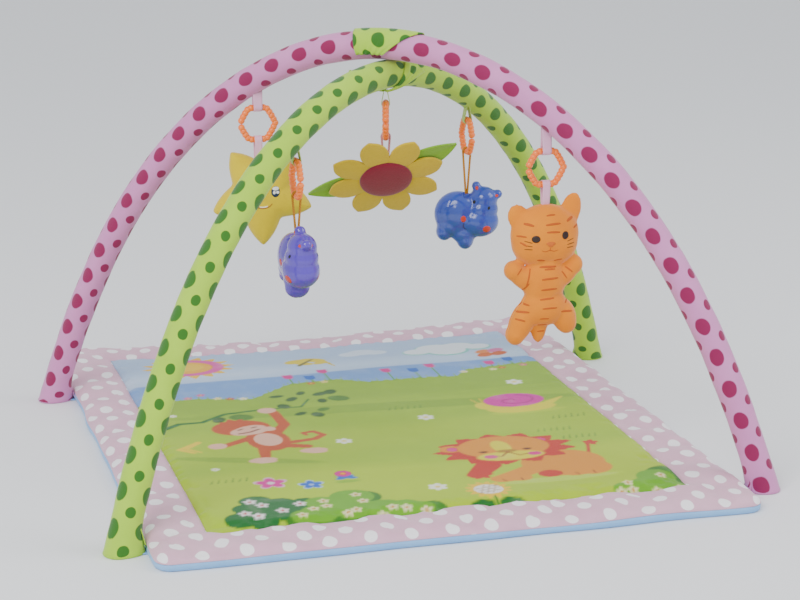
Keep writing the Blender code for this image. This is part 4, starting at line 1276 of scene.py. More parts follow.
def knobbly_tree(material):
    """Geometry Nodes: a round core along a curve, with knobs at even steps."""
    tree = bpy.data.node_groups.new("knobbly_link", "GeometryNodeTree")
    for label, kind, way in (
        ("Line", "NodeSocketGeometry", "INPUT"),
        ("Knob Step", "NodeSocketFloat", "INPUT"),
        ("Knob Radius", "NodeSocketFloat", "INPUT"),
        ("Core Radius", "NodeSocketFloat", "INPUT"),
        ("Link", "NodeSocketGeometry", "OUTPUT"),
    ):
        tree.interface.new_socket(name=label, in_out=way, socket_type=kind)
    entry = add(tree, "NodeGroupInput")
    core = add(tree, "GeometryNodeCurvePrimitiveCircle", {"Resolution": 10})
    tree.links.new(entry.outputs["Core Radius"], core.inputs["Radius"])
    tube = add(
        tree,
        "GeometryNodeCurveToMesh",
        {"Curve": entry.outputs["Line"], "Profile Curve": core.outputs["Curve"], "Fill Caps": True},
    )
    spread = add(tree, "GeometryNodeResampleCurve", {"Curve": entry.outputs["Line"]})
    spread.mode = "LENGTH"
    tree.links.new(entry.outputs["Knob Step"], spread.inputs["Length"])
    knob = add(tree, "GeometryNodeMeshIcoSphere", {"Subdivisions": 2})
    tree.links.new(entry.outputs["Knob Radius"], knob.inputs["Radius"])
    placed = add(
        tree,
        "GeometryNodeInstanceOnPoints",
        {"Points": spread.outputs["Curve"], "Instance": knob.outputs["Mesh"]},
    )
    joined = add(tree, "GeometryNodeJoinGeometry")
    tree.links.new(placed.outputs["Instances"], joined.inputs[0])
    tree.links.new(tube.outputs["Mesh"], joined.inputs[0])
    real = add(tree, "GeometryNodeRealizeInstances", {"Geometry": joined.outputs[0]})
    shaded = add(
        tree, "GeometryNodeSetShadeSmooth", {"Geometry": real.outputs[0], "Shade Smooth": True}
    )
    last = add(
        tree, "GeometryNodeSetMaterial", {"Geometry": shaded.outputs[0], "Material": material}
    )
    leave = add(tree, "NodeGroupOutput")
    tree.links.new(last.outputs[0], leave.inputs["Link"])
    return tree


def grown(name, points, tree, **sizes):
    """A plain mesh that a Geometry Nodes tree grows along a line."""
    curve = bpy.data.curves.new(f"{name}_line", "CURVE")
    curve.dimensions = "3D"
    spline = curve.splines.new("POLY")
    spline.points.add(len(points) - 1)
    for point, p in zip(spline.points, points):
        point.co = (*p, 1.0)
    line = show(bpy.data.objects.new(f"{name}_line", curve))
    modifier = line.modifiers.new("grown", "NODES")
    modifier.node_group = tree
    for item in tree.interface.items_tree:
        if item.item_type == "SOCKET" and item.in_out == "INPUT":
            key = item.name.lower().replace(" ", "_")
            if key in sizes:
                modifier[item.identifier] = sizes[key]
    graph = bpy.context.evaluated_depsgraph_get()
    mesh = bpy.data.meshes.new_from_object(line.evaluated_get(graph))
    bpy.data.objects.remove(line, do_unlink=True)
    mesh.name = name
    return show(bpy.data.objects.new(name, mesh))


link_tree = knobbly_tree(ring_plastic)


def ring_line():
    """The link's middle line in its own XZ plane: six rounded sides, open on the left."""
    line = []
    for t in np.linspace(-pi + RING_GAP / 2, pi - RING_GAP / 2, 73):
        part = (t % (pi / 3)) - pi / 6
        sharp = RING_CORNER * cos(pi / 6) / cos(part)
        soft = RING_CORNER * 0.93
        reach = 0.72 * sharp + 0.28 * soft
        line.append(Vector((reach * cos(t), 0, reach * sin(t))))
    return line


for toy in HANGERS:
    matrix = hanger_matrix(toy)
    line = [matrix @ p for p in ring_line()]
    ring = grown(
        f"{toy}_link",
        line,
        link_tree,
        knob_step=KNOB_STEP,
        knob_radius=KNOB_RADIUS,
        core_radius=CORE_RADIUS,
    )
    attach(ring, f"{toy}_ring")
    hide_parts(f"{toy}_ring")

# ---------------------------------------------------------------- toy ribbons and cords
# The plush toys hang on a loop of pink satin ribbon. The rattles hang on a doubled ochre
# cord and the flower on a thin pink one. Each goes round the foot of its ring.
CORD_RADIUS = 0.0010  # what the loop's route allows for
CORD_SHOWN = 0.0015  # half the thickness that is modelled

cord_finish = {}
for name, light, dark in (("ochre", "CC8A0C", "A86C08"), ("rose", "E3A6B4", "C98596")):
    material, tree, shader = plain(f"{name}_braided_cord", light, 0.75)
    place = add(tree, "ShaderNodeUVMap", uv_map="cloth").outputs[0]
    strands = add(
        tree,
        "ShaderNodeTexWave",
        {"Vector": place, "Scale": 190.0, "Distortion": 1.0},
        bands_direction="DIAGONAL",
    )
    # Painted shade: the braid is darker in the grooves between its strands and lighter on their tops.
    tree.links.new(
        blend_colour(tree, strands.outputs["Fac"], dark, light), shader.inputs["Base Color"]
    )
    bump = add(
        tree,
        "ShaderNodeBump",
        {"Height": strands.outputs["Fac"], "Distance": 0.0003, "Strength": 0.8},
    )
    tree.links.new(bump.outputs["Normal"], shader.inputs["Normal"])
    cord_finish[name] = material


def rope(name, points, radius, material, sides=9):
    """A round cord along a closed line, with a cloth map round and along it."""
    points = [Vector(p) for p in points]
    count = len(points)
    ring_points, flat, run = [], [], 0.0
    side = Vector((1, 0, 0))
    for i, p in enumerate(points):
        along = (points[(i + 1) % count] - points[i - 1]).normalized()
        side = (side - along * side.dot(along)).normalized()
        up = along.cross(side)
        for k in range(sides):
            a = 2 * pi * k / sides
            ring_points.append(p + (side * cos(a) + up * sin(a)) * radius)
            flat.append((run, a * radius))
        run += (points[(i + 1) % count] - p).length
    faces = []
    for i in range(count):
        n = (i + 1) % count
        for k in range(sides):
            m = (k + 1) % sides
            faces.append((i * sides + k, i * sides + m, n * sides + m, n * sides + k))
    made = solid(name, ring_points, faces, material)
    faced_out(made)
    cloth_map(made, np.array(flat))
    return made


def loop_line(top, bottom, spread, pinch):
    """A hanging loop in its own YZ plane: over the ring's wire and pinched where it is held."""
    points = [(0.0, spread * cos(a), top + spread * sin(a)) for a in np.linspace(0, pi, 7)]
    points += [(0.0, -spread * 0.98, top - 0.004)]
    points += [(0.0, pinch * cos(a), bottom + pinch * sin(a)) for a in np.linspace(pi, 2 * pi, 5)]
    points += [(0.0, spread * 0.98, top - 0.004)]
    closed = smooth_path(points + [points[0]], 5)
    return closed[:-1]


FLOWER_DROP, FELT = 0.0774, 0.0030
for toy, slot_name, finish_name, bottom in (
    ("violet_hippo", "ochre_cord", "ochre", -0.1025 + 0.0280 + 0.0030),
    ("blue_hippo", "ochre_cord", "ochre", -0.1090 + 0.0280 + 0.0030),
    ("flower", "pink_ribbon", "rose", -FLOWER_DROP + 2.5 * FELT),
):
    matrix = hanger_matrix(toy)
    line = loop_line(-RING_RADIUS, bottom, WIRE_RADIUS + 2 * CORD_RADIUS, 0.0013)
    cord = rope(f"{toy}_loop", [matrix @ Vector(p) for p in line], CORD_SHOWN, cord_finish[finish_name])
    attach(cord, toy)
    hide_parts(f"{toy}_cord")

ribbon_satin, tree, shader = plain("pink_satin_ribbon", "E9B5CC", 0.5)
place = add(tree, "ShaderNodeUVMap", uv_map="cloth").outputs[0]
folds = weave(tree, shader, place, thread=0.0006, depth=0.0001)
# Painted shade and highlight: the ribbon is darker in the crease hollows and lighter on their crests.
tree.links.new(blend_colour(tree, folds, "DB9DBD", "EFC0D6"), shader.inputs["Base Color"])
shader.inputs["Sheen Weight"].default_value = 0.3
RIBBON_HALF = 0.0050
RIBBON_END = {"star": -0.0955 + 0.042, "tiger": -0.0870 + 0.0365}
for toy, bottom in RIBBON_END.items():
    matrix = hanger_matrix(toy)
    wire = -RING_RADIUS
    loop = [(0.0012, bottom), (TURN * 0.7, bottom + 0.010), (TURN, wire - 0.002)]
    loop += [(TURN * cos(a), wire + TURN * sin(a)) for a in np.linspace(0.3, pi - 0.3, 7)]
    loop += [(-TURN, wire - 0.002), (-TURN * 0.7, bottom + 0.010), (-0.0012, bottom)]
    line = [(p.x, p.y) for p in smooth_path([(y, z, 0) for y, z in loop], 3)]
    rows = tape_rows(line, [RIBBON_HALF] * len(line), matrix)
    ribbon = strip(f"{toy}_ribbon_satin", rows, TAPE_THICK, ribbon_satin)
    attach(ribbon, toy)
    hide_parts(f"{toy}_ribbon")

# ---------------------------------------------------------------- plush star
# A yellow velour star, stuffed tight and sewn round its edge, with a printed face. One tip
# points down, and it hangs by its ribbon between the two upper tips.
STAR_DROP = 0.0955
STAR_SHIFT = 0.0050
STAR_REACH, STAR_WAIST, STAR_HALF_DEPTH = 0.0735, 0.0450, 0.0205
PLUSH_VOXEL = 0.0024
SEAM_WIDTH, SEAM_PULL = 0.0014, 0.0010


def applied(obj):
    """Swaps an object's mesh for its evaluated one, and drops its modifiers."""
    graph = bpy.context.evaluated_depsgraph_get()
    mesh = bpy.data.meshes.new_from_object(obj.evaluated_get(graph))
    obj.modifiers.clear()
    old = obj.data
    obj.data = mesh
    bpy.data.meshes.remove(old)
    return obj


def remeshed(obj, voxel, smoothing):
    """One even skin over everything in the mesh, with its hollows eased."""
    skin = obj.modifiers.new("skin", "REMESH")
    skin.mode = "VOXEL"
    skin.voxel_size = voxel
    skin.adaptivity = 0.0
    ease_off = obj.modifiers.new("ease", "SMOOTH")
    ease_off.factor = 0.5
    ease_off.iterations = smoothing
    return applied(obj)


def stuffed(obj, pressure, cap, stiffness=22):
    """Swells a closed skin by cloth simulation, with each point's move capped."""
    start = np.array([v.co for v in obj.data.vertices])
    cloth = obj.modifiers.new("cloth", "CLOTH")
    cloth.settings.quality = 5
    cloth.settings.mass = 0.1
    cloth.settings.tension_stiffness = stiffness
    cloth.settings.compression_stiffness = stiffness
    cloth.settings.bending_stiffness = 0.3
    cloth.settings.use_pressure = True
    cloth.settings.uniform_pressure_force = pressure
    cloth.settings.effector_weights.gravity = 0.0
    for step in range(1, 21):
        bpy.context.scene.frame_set(step)
    applied(obj)
    bpy.context.scene.frame_set(1)
    ends = np.array([v.co for v in obj.data.vertices])
    moved = ends - start
    length = np.linalg.norm(moved, axis=1, keepdims=True)
    moved *= np.minimum(1.0, cap / np.maximum(length, 1e-9))
    moved -= moved.mean(axis=0)
    obj.data.vertices.foreach_set("co", (start + moved).ravel())
    finer = obj.modifiers.new("finer", "SUBSURF")
    finer.levels = finer.render_levels = 1
    applied(obj)
    obj.data.shade_smooth()
    return obj


def sewn_edge(obj, middle_y, width=SEAM_WIDTH, pull=SEAM_PULL, outer=0.45):
    """Draws the skin in along the seam that runs round a flat toy's rim."""
    mesh = obj.data
    normals = [v.normal.copy() for v in mesh.vertices]
    for v, n in zip(mesh.vertices, normals):
        if abs(n.y) < outer:
            v.co -= n * pull * np.exp(-(((v.co.y - middle_y) / width) ** 2))
    mesh.update()


def plush(name, deep, light, pile=0.0004):
    """Short-pile velour: brushed colour, soft sheen and a fine nap."""
    material, tree, shader = plain(name, light, 0.92)
    place = add(tree, "ShaderNodeTexCoord").outputs["Object"]
    brushed = add(tree, "ShaderNodeTexNoise", {"Vector": place, "Scale": 42.0, "Detail": 4.0})
    nap = add(tree, "ShaderNodeTexNoise", {"Vector": place, "Scale": 1300.0, "Detail": 2.0})
    mixed = sums(
        tree,
        "ADD",
        sums(tree, "MULTIPLY", brushed.outputs["Fac"], 0.7),
        sums(tree, "MULTIPLY", nap.outputs["Fac"], 0.3),
    )
    tree.links.new(blend_colour(tree, mixed, deep, light), shader.inputs["Base Color"])
    fine = add(tree, "ShaderNodeBump", {"Height": nap.outputs["Fac"], "Distance": pile, "Strength": 0.7})
    broad = add(
        tree,
        "ShaderNodeBump",
        {
            "Height": brushed.outputs["Fac"],
            "Distance": 0.0012,
            "Strength": 0.5,
            "Normal": fine.outputs["Normal"],
        },
    )
    tree.links.new(broad.outputs["Normal"], shader.inputs["Normal"])
    shader.inputs["Sheen Weight"].default_value = 0.45
    shader.inputs["Sheen Roughness"].default_value = 0.4
    return material


def printed(name, colour, roughness=0.8):
    """An ink or thread on a toy, with a slight mottle."""
    material, tree, shader = plain(name, colour, roughness)
    place = add(tree, "ShaderNodeTexCoord").outputs["Object"]
    mottle = add(tree, "ShaderNodeTexNoise", {"Vector": place, "Scale": 600.0, "Detail": 2.0})
    share = sums(tree, "MULTIPLY", mottle.outputs["Fac"], 0.2)
    tree.links.new(blend_colour(tree, share, colour, "000000"), shader.inputs["Base Color"])
    bump = add(
        tree, "ShaderNodeBump", {"Height": mottle.outputs["Fac"], "Distance": 0.0002, "Strength": 0.4}
    )
    tree.links.new(bump.outputs["Normal"], shader.inputs["Normal"])
    return material


class Markings:
    """Shapes laid on a toy's skin from one side, as thin closed patches that follow it."""

    def __init__(self, toy, matrix, way=(0, 1, 0), lift=0.00025, depth=0.0006):
        mesh = toy.data
        self.skin = BVHTree.FromPolygons(
            [v.co.copy() for v in mesh.vertices], [tuple(p.vertices) for p in mesh.polygons]
        )
        self.matrix, self.way = matrix, Vector(way)
        self.lift, self.depth = lift, depth
        self.points, self.faces = [], []

    def fall(self, x, z):
        """Where a point of the side view meets the skin."""
        start = self.matrix @ (Vector((x, 0, z)) - self.way * 0.2)
        toward = (self.matrix.to_3x3() @ self.way).normalized()
        hit, normal, _, _ = self.skin.ray_cast(start, toward)
        if hit is None:
            near, normal, _, _ = self.skin.find_nearest(self.matrix @ Vector((x, 0, z)))
            return near + normal * self.lift, near - normal * self.depth
        return hit + normal * self.lift, hit - normal * self.depth

    def patch(self, grid, wraps):
        """A closed patch over a grid of side-view points, in rows. wraps joins its columns."""
        rows, cols = len(grid), len(grid[0])
        base = len(self.points)
        pairs = [self.fall(x, z) for row in grid for x, z in row]
        self.points += [p[0] for p in pairs] + [p[1] for p in pairs]
        half = rows * cols
        last = cols if wraps else cols - 1
        for i in range(rows - 1):
            for k in range(last):
                n = (k + 1) % cols
                a, b = base + i * cols + k, base + i * cols + n
                c, d = base + (i + 1) * cols + n, base + (i + 1) * cols + k
                self.faces += [(a, b, c, d), (d + half, c + half, b + half, a + half)]
        rim = [(rows - 1) * cols + k for k in range(cols)]
        if wraps:
            loops = [rim + rim[:1]]
        else:
            edge = [k for k in range(cols)]
            edge += [i * cols + cols - 1 for i in range(1, rows)]
            edge += rim[::-1][1:]
            edge += [i * cols for i in range(rows - 2, 0, -1)]
            loops = [edge + edge[:1]]
        for loop in loops:
            for p, q in zip(loop, loop[1:]):
                self.faces.append((base + p, base + q, base + q + half, base + p + half))

    def oval(self, x, z, half_x, half_z, turn=0.0, rings=4, sides=20):
        c, s = cos(radians(turn)), sin(radians(turn))
        grid = []
        for i in range(rings):
            share = max(i / (rings - 1), 0.02)
            row = []
            for k in range(sides):
                a = 2 * pi * k / sides
                u, v = half_x * share * cos(a), half_z * share * sin(a)
                row.append((x + u * c - v * s, z + u * s + v * c))
            grid.append(row)
        self.patch(grid, True)

    def stroke(self, points, width, tip=0.25):
        """A tapering line through the points."""
        line = [Vector((p.x, p.y)) for p in smooth_path([(x, z, 0) for x, z in points], 4)]
        count = len(line)
        grid = []
        for i, p in enumerate(line):
            along = (line[min(i + 1, count - 1)] - line[max(i - 1, 0)]).normalized()
            side = Vector((-along.y, along.x))
            share = sin(pi * (i + 0.5) / count) ** 0.6
            half = width / 2 * (tip + (1 - tip) * share)
            grid.append([tuple(p + side * half * w) for w in (-1, -0.35, 0.35, 1)])
        self.patch(grid, False)

    def made(self, name, material, body, slot_name):
        obj = solid(name, self.points, self.faces, material)
        bm = bmesh.new()
        bm.from_mesh(obj.data)
        bmesh.ops.remove_doubles(bm, verts=bm.verts, dist=1e-7)
        bmesh.ops.recalc_face_normals(bm, faces=bm.faces)
        bm.to_mesh(obj.data)
        bm.free()
        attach(obj, body)
        self.points, self.faces = [], []
        return obj


def star_form(sides_each=10, levels=14):
    """The star's uncut form in its own XZ plane: an outline with domed sides."""
    outline = []
    for step in range(5 * 2 * sides_each):
        angle = 2 * pi * step / (10 * sides_each)
        fold = abs(((angle / (2 * pi) * 5) % 1.0) * 2.0 - 1.0)
        outline.append((angle - pi / 2, STAR_WAIST + (STAR_REACH - STAR_WAIST) * fold**1.3))
    count = len(outline)
    points, faces = [], []
    heights = [sin(pi / 2 * k / levels) for k in range(-levels + 1, levels)]
    for h in heights:
        level = sqrt(1 - abs(h) ** 2.2)
        for angle, reach in outline:
            reach = reach * level ** 0.9
            points.append(Vector((reach * cos(angle), h * STAR_HALF_DEPTH, reach * sin(angle))))
    rows = len(heights)
    for i in range(rows - 1):
        for k in range(count):
            n = (k + 1) % count
            faces.append((i * count + k, i * count + n, (i + 1) * count + n, (i + 1) * count + k))
    for y, row in ((-STAR_HALF_DEPTH, 0), (STAR_HALF_DEPTH, rows - 1)):
        tip = len(points)
        points.append(Vector((0, y, 0)))
        for k in range(count):
            n = (k + 1) % count
            face = (row * count + n, row * count + k, tip)
            faces.append(face if y < 0 else face[::-1])
    return points, faces


star_plush = plush("yellow_plush", "C4AA00", "E2C800")
star_matrix = hanger_matrix("star") @ Matrix.Translation((STAR_SHIFT, 0, -STAR_DROP))
points, faces = star_form()
star = solid("plush_star", [star_matrix @ p for p in points], faces, star_plush)
remeshed(star, PLUSH_VOXEL, 3)
stuffed(star, 3.0, 0.0035)
star.data.materials.clear()
star.data.materials.append(star_plush)
sewn_edge(star, star_matrix.translation.y)
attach(star, "star")
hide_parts("star_front", "star_back", "star_filling")

face = Markings(star, star_matrix)
EYE_X, EYE_Z = 0.0150, 0.0060
for side in (-1, 1):
    face.oval(side * EYE_X - 0.002, EYE_Z, 0.0060, 0.0074)
face.made("star_eye_rims", printed("navy_ink", "16304F"), "star", "yellow_plush")
face.lift = 0.00045
for side in (-1, 1):
    face.oval(side * EYE_X - 0.0018, EYE_Z + 0.0042, 0.0046, 0.0026)
    face.oval(side * EYE_X - 0.0038, EYE_Z - 0.0012, 0.0020, 0.0022)
    face.oval(side * EYE_X + 0.0010, EYE_Z - 0.0010, 0.0022, 0.0020)
face.made("star_eye_whites", printed("white_ink", "F4F6F4"), "star", "yellow_plush")
face.lift = 0.00035
smile = [
    (-0.0165, -0.0105), (-0.010, -0.0150), (-0.003, -0.0158), (0.004, -0.0140), (0.0085, -0.0100),
]
face.stroke(smile, 0.0015)
face.made("star_smile", printed("brown_thread", "A8661C"), "star", "yellow_plush")
face.lift = 0.00030
face.stroke([(-0.0090, -0.0138), (-0.0035, -0.0146), (0.0020, -0.0132)], 0.0022)
face.made("star_teeth", printed("cream_ink", "F6F0D0"), "star", "yellow_plush")

# ---------------------------------------------------------------- plush tiger
# A tiger cub in orange-yellow velour, cut as a front and a back and stuffed. Its stripes,
# whiskers and mouth are stitched lines, and its eyes and nose are printed.
TIGER_VOXEL = 0.0024
TIGER = (  # centre (x, y, z), radii, turn in degrees; x is to the viewer's right
    ((0.000, 0.000, -0.0870), (0.0465, 0.0240, 0.0405), 0),  # head
    ((-0.014, 0.000, -0.0970), (0.0310, 0.0225, 0.0300), 0),  # cheeks
    ((0.014, 0.000, -0.0970), (0.0310, 0.0225, 0.0300), 0),
    ((0.000, 0.000, -0.1480), (0.0300, 0.0200, 0.0340), 0),  # chest
    ((0.000, 0.000, -0.1830), (0.0325, 0.0205, 0.0260), 0),  # hips
    ((-0.0270, 0.000, -0.1440), (0.0250, 0.0135, 0.0140), 36),  # arms
    ((-0.0420, 0.000, -0.1325), (0.0130, 0.0130, 0.0135), 0),
    ((0.0270, 0.000, -0.1420), (0.0250, 0.0135, 0.0140), -42),
    ((0.0400, 0.000, -0.1290), (0.0130, 0.0130, 0.0140), 0),
    ((-0.0295, 0.000, -0.2010), (0.0165, 0.0150, 0.0310), 22),  # legs
    ((-0.0385, 0.000, -0.2180), (0.0130, 0.0140, 0.0145), 0),
    ((0.0280, 0.000, -0.1970), (0.0165, 0.0150, 0.0260), -16),
    ((0.0315, 0.000, -0.2070), (0.0140, 0.0140, 0.0150), 0),
    ((-0.0045, 0.003, -0.2060), (0.0115, 0.0085, 0.0270), 3),  # tail
    ((-0.0350, 0.000, -0.0640), (0.0155, 0.0062, 0.0200), -24),  # ears
    ((0.0355, 0.002, -0.0580), (0.0145, 0.0062, 0.0250), 14),
)


def lumps_form(lumps, matrix, segments=28, rings=16):
    """The points and faces of several squashed balls, with their poles along Y."""
    points, faces = [], []
    for centre, radii, turn in lumps:
        bm = bmesh.new()
        bmesh.ops.create_uvsphere(bm, u_segments=segments, v_segments=rings, radius=1.0)
        local = (
            Matrix.Translation(centre)
            @ Matrix.Rotation(radians(turn), 4, "Y")
            @ Matrix.Diagonal((*radii, 1.0))
            @ Matrix.Rotation(radians(90), 4, "X")
        )
        bmesh.ops.transform(bm, matrix=matrix @ local, verts=bm.verts)
        start = len(points)
        bm.verts.index_update()
        points += [v.co.copy() for v in bm.verts]
        faces += [tuple(start + v.index for v in f.verts) for f in bm.faces]
        bm.free()
    return points, faces


tiger_plush = plush("orange_plush", "DE7600", "F29400")
tiger_matrix = hanger_matrix("tiger")
points, faces = lumps_form(TIGER, tiger_matrix)
tiger = solid("plush_tiger", points, faces, tiger_plush)
remeshed(tiger, TIGER_VOXEL, 7)
stuffed(tiger, 2.5, 0.0025)
tiger.data.materials.clear()
tiger.data.materials.append(tiger_plush)
sewn_edge(tiger, tiger_matrix.translation.y)
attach(tiger, "tiger")
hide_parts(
    "tiger_front", "tiger_back", "tiger_filling", "tiger_ear_left", "tiger_ear_right", "tiger_tail"
)

stripe_thread = printed("rust_thread", "C85A04")
dark_thread = printed("dark_brown_thread", "54300F")
face = Markings(tiger, tiger_matrix)
STRIPES = (  # centre x, z, half length, turn in degrees, width
    (0.002, -0.0590, 0.0060, 3, 0.0016), (0.004, -0.0700, 0.0100, 3, 0.0022),
    (0.004, -0.0800, 0.0090, -2, 0.0020), (-0.0270, -0.0700, 0.0060, -12, 0.0026),
    (-0.0360, -0.0850, 0.0055, -3, 0.0018), (-0.0340, -0.0950, 0.0045, -30, 0.0018),
    (0.0290, -0.0660, 0.0055, 18, 0.0028), (0.0375, -0.0760, 0.0040, 20, 0.0020),
    (-0.0100, -0.1175, 0.0055, -8, 0.0018), (0.0130, -0.1180, 0.0050, 10, 0.0016),
    (0.000, -0.1270, 0.0110, 0, 0.0022), (0.002, -0.1300, 0.0070, 0, 0.0018),
    (0.002, -0.1420, 0.0110, 3, 0.0022), (0.001, -0.1560, 0.0105, 2, 0.0022),
    (-0.001, -0.1690, 0.0095, 4, 0.0020), (0.002, -0.1810, 0.0100, 0, 0.0018),
    (-0.0370, -0.1320, 0.0050, 50, 0.0014), (-0.0245, -0.1400, 0.0110, 75, 0.0016),
    (-0.0275, -0.1530, 0.0060, 55, 0.0016), (0.0300, -0.1330, 0.0055, -38, 0.0016),
    (0.0230, -0.1390, 0.0060, -55, 0.0014), (-0.0310, -0.1760, 0.0075, -8, 0.0022),
    (-0.0320, -0.1860, 0.0080, 0, 0.0022), (-0.0355, -0.1960, 0.0060, -12, 0.0020),
    (0.0300, -0.1740, 0.0055, 35, 0.0020), (0.0270, -0.1880, 0.0080, -4, 0.0022),
    (-0.0045, -0.1950, 0.0060, 0, 0.0014), (-0.0045, -0.2050, 0.0060, 0, 0.0014),
    (-0.0045, -0.2150, 0.0050, 0, 0.0014),
)
for x, z, half, turn, width in STRIPES:
    dx, dz = half * cos(radians(turn)), half * sin(radians(turn))
    face.stroke([(x - dx, z - dz), (x, z + 0.0004), (x + dx, z + dz)], 1.25 * width)
mouth = [(-0.0110, -0.1035), (-0.0060, -0.1050), (0.0, -0.1035), (0.0055, -0.1050), (0.0110, -0.1035)]
face.stroke(mouth, 0.0010)
face.stroke([(0.0, -0.1000), (0.0, -0.1040)], 0.0009)
face.made("tiger_stripes", stripe_thread, "tiger", "orange_plush")
for side in (-1, 1):
    for k, (z, fall) in enumerate(((-0.0930, 3), (-0.0975, 0), (-0.1015, -3))):
        near, far = side * 0.0235, side * (0.0330 + 0.001 * (k == 1))
        face.stroke([(near, z), (far, z + 0.0010 * (1 - k) + 0.0015)], 0.0009)
face.made("tiger_whiskers", dark_thread, "tiger", "orange_plush")
face.lift = 0.0004
face.oval(-0.0190, -0.0880, 0.0055, 0.0046)
face.oval(0.0205, -0.0850, 0.0046, 0.0052)
face.made("tiger_eyes", printed("dark_eye_ink", "2B160A", 0.45), "tiger", "orange_plush")
face.oval(0.0005, -0.0945, 0.0062, 0.0026)
face.oval(0.0005, -0.0965, 0.0036, 0.0026)
face.made("tiger_nose", printed("nose_ink", "DD6F1C"), "tiger", "orange_plush")

# ---------------------------------------------------------------- hippo rattles
# Two glossy moulded rattles from one mould, each a pair of half shells. The hippo looks to
# the side, so its face is on both flanks, and the cord goes through a hole over the back.
HIPPO_VOXEL = 0.0016
HIPPO = (
    ((-0.0160, 0.0, -0.0010), (0.0335, 0.0215, 0.0325), 0),  # body
    ((-0.0060, 0.0, -0.0370), (0.0125, 0.0165, 0.0145), 0),  # front foot
    ((-0.0080, 0.0, -0.0270), (0.0190, 0.0175, 0.0160), 0),
    ((-0.0350, 0.0, -0.0260), (0.0120, 0.0165, 0.0130), 0),  # hind foot
    ((-0.0260, 0.0, -0.0160), (0.0200, 0.0190, 0.0170), 0),
)
HIPPO_HEAD = (
    ((0.0190, 0.0, 0.0195), (0.0200, 0.0190, 0.0185), 0),  # head
    ((0.0160, 0.0, 0.0060), (0.0240, 0.0215, 0.0180), 0),
    ((0.0115, 0.0, -0.0099), (0.0295, 0.0240, 0.0238), 8),  # muzzle
    ((0.0090, 0.0, 0.0385), (0.0066, 0.0078, 0.0072), 0),  # ears
    ((0.0385, 0.0, 0.0272), (0.0072, 0.0078, 0.0066), 0),
)
HIPPO_HOLE = (-0.0045, 0.0, 0.0280)
HIPPO_TURN = {"violet_hippo": (-0.1025, -88.0), "blue_hippo": (-0.1090, -16.0)}


def moulded(name, deep, light):
    """Glossy moulded plastic with a trace of flow and orange peel."""
    material, tree, shader = plain(name, light, 0.16)
    place = add(tree, "ShaderNodeTexCoord").outputs["Object"]
    flow = add(tree, "ShaderNodeTexNoise", {"Vector": place, "Scale": 30.0, "Detail": 2.0})
    tree.links.new(blend_colour(tree, flow.outputs["Fac"], deep, light), shader.inputs["Base Color"])
    peel = add(tree, "ShaderNodeTexNoise", {"Vector": place, "Scale": 350.0})
    bump = add(
        tree, "ShaderNodeBump", {"Height": peel.outputs["Fac"], "Distance": 0.00012, "Strength": 0.35}
    )
    tree.links.new(bump.outputs["Normal"], shader.inputs["Normal"])
    shader.inputs["Coat Weight"].default_value = 0.6
    shader.inputs["Coat Roughness"].default_value = 0.06
    return material


red_paint = printed("red_paint", "D23A26", 0.3)
black_paint = printed("black_paint", "10131C", 0.25)
# The smile is a moulded groove. Its dark line, a darker copy of the shell's colour, is painted shade.
groove_shade_paint = {
    "violet_hippo": printed("violet_line", "2A1F5E", 0.4),
    "blue_hippo": printed("blue_line", "1B2450", 0.4),
}
SHELL = {
    "violet_hippo": (moulded("violet_plastic", "4A2CA8", "5B3EC0"), "violet_gloss"),
    "blue_hippo": (moulded("blue_plastic", "2440A0", "3150B8"), "blue_gloss"),
}
for toy, (drop, heading) in HIPPO_TURN.items():
    material, slot_name = SHELL[toy]
    yaw = HANGERS[toy][3]
    turned = Matrix.Rotation(radians(heading - yaw), 4, "Z")
    hole = turned @ Vector((HIPPO_HOLE[0], 0, 0))
    matrix = hanger_matrix(toy) @ Matrix.Translation(Vector((0, 0, drop)) - hole) @ turned
    points, faces = lumps_form(HIPPO + HIPPO_HEAD, matrix)
    shell = solid(f"{toy}_shell", points, faces, material)
    remeshed(shell, HIPPO_VOXEL, 12)
    finer = shell.modifiers.new("finer", "SUBSURF")
    finer.levels = finer.render_levels = 1
    applied(shell)
    shell.data.materials.clear()
    shell.data.materials.append(material)
    back = matrix.inverted()
    turned_back = matrix.to_3x3()
    normals = [v.normal.copy() for v in shell.data.vertices]
    for v, normal in zip(shell.data.vertices, normals):
        place = back @ v.co
        v.co -= normal * 0.0004 * np.exp(-((place.y / 0.0008) ** 2))  # the joint of the shells
        off = hypot(place.x - HIPPO_HOLE[0], place.z - HIPPO_HOLE[2])
        if off < 0.0055:  # the hole's mouth, on each flank
            sink = -np.sign(place.y) * 0.0080 * min(1.0, (0.0055 - off) / 0.0018)
            v.co += turned_back @ Vector((0, sink * min(1.0, abs(place.y) / 0.010), 0))
    shell.data.update()
    shell.data.shade_smooth()
    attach(shell, toy)
    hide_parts(f"{toy}_shell_left", f"{toy}_shell_right")
    for label, way in (("near", (0, 1, 0)), ("far", (0, -1, 0))):
        face = Markings(shell, matrix, way, lift=0.00018)
        face.oval(-0.0090, -0.0040, 0.0038, 0.0047)
        face.oval(0.0234, -0.0185, 0.0056, 0.0050)
        face.oval(0.0097, 0.0370, 0.0022, 0.0028, rings=3, sides=12)
        face.oval(0.0372, 0.0262, 0.0024, 0.0022, rings=3, sides=12)
        face.made(f"{toy}_cheeks_{label}", red_paint, toy, slot_name)
        face.oval(0.0060, 0.0188, 0.0019, 0.0026, turn=-20)
        face.oval(0.0262, 0.0110, 0.0019, 0.0024, turn=-20)
        face.made(f"{toy}_eyes_{label}", black_paint, toy, slot_name)
        # The smile's dark line is painted shade in its moulded groove.
        face.stroke([(-0.0078, -0.0100), (-0.0092, -0.0145), (-0.0072, -0.0180), (-0.0035, -0.0190)], 0.0012)
        face.made(f"{toy}_smile_{label}", groove_shade_paint[toy], toy, slot_name)

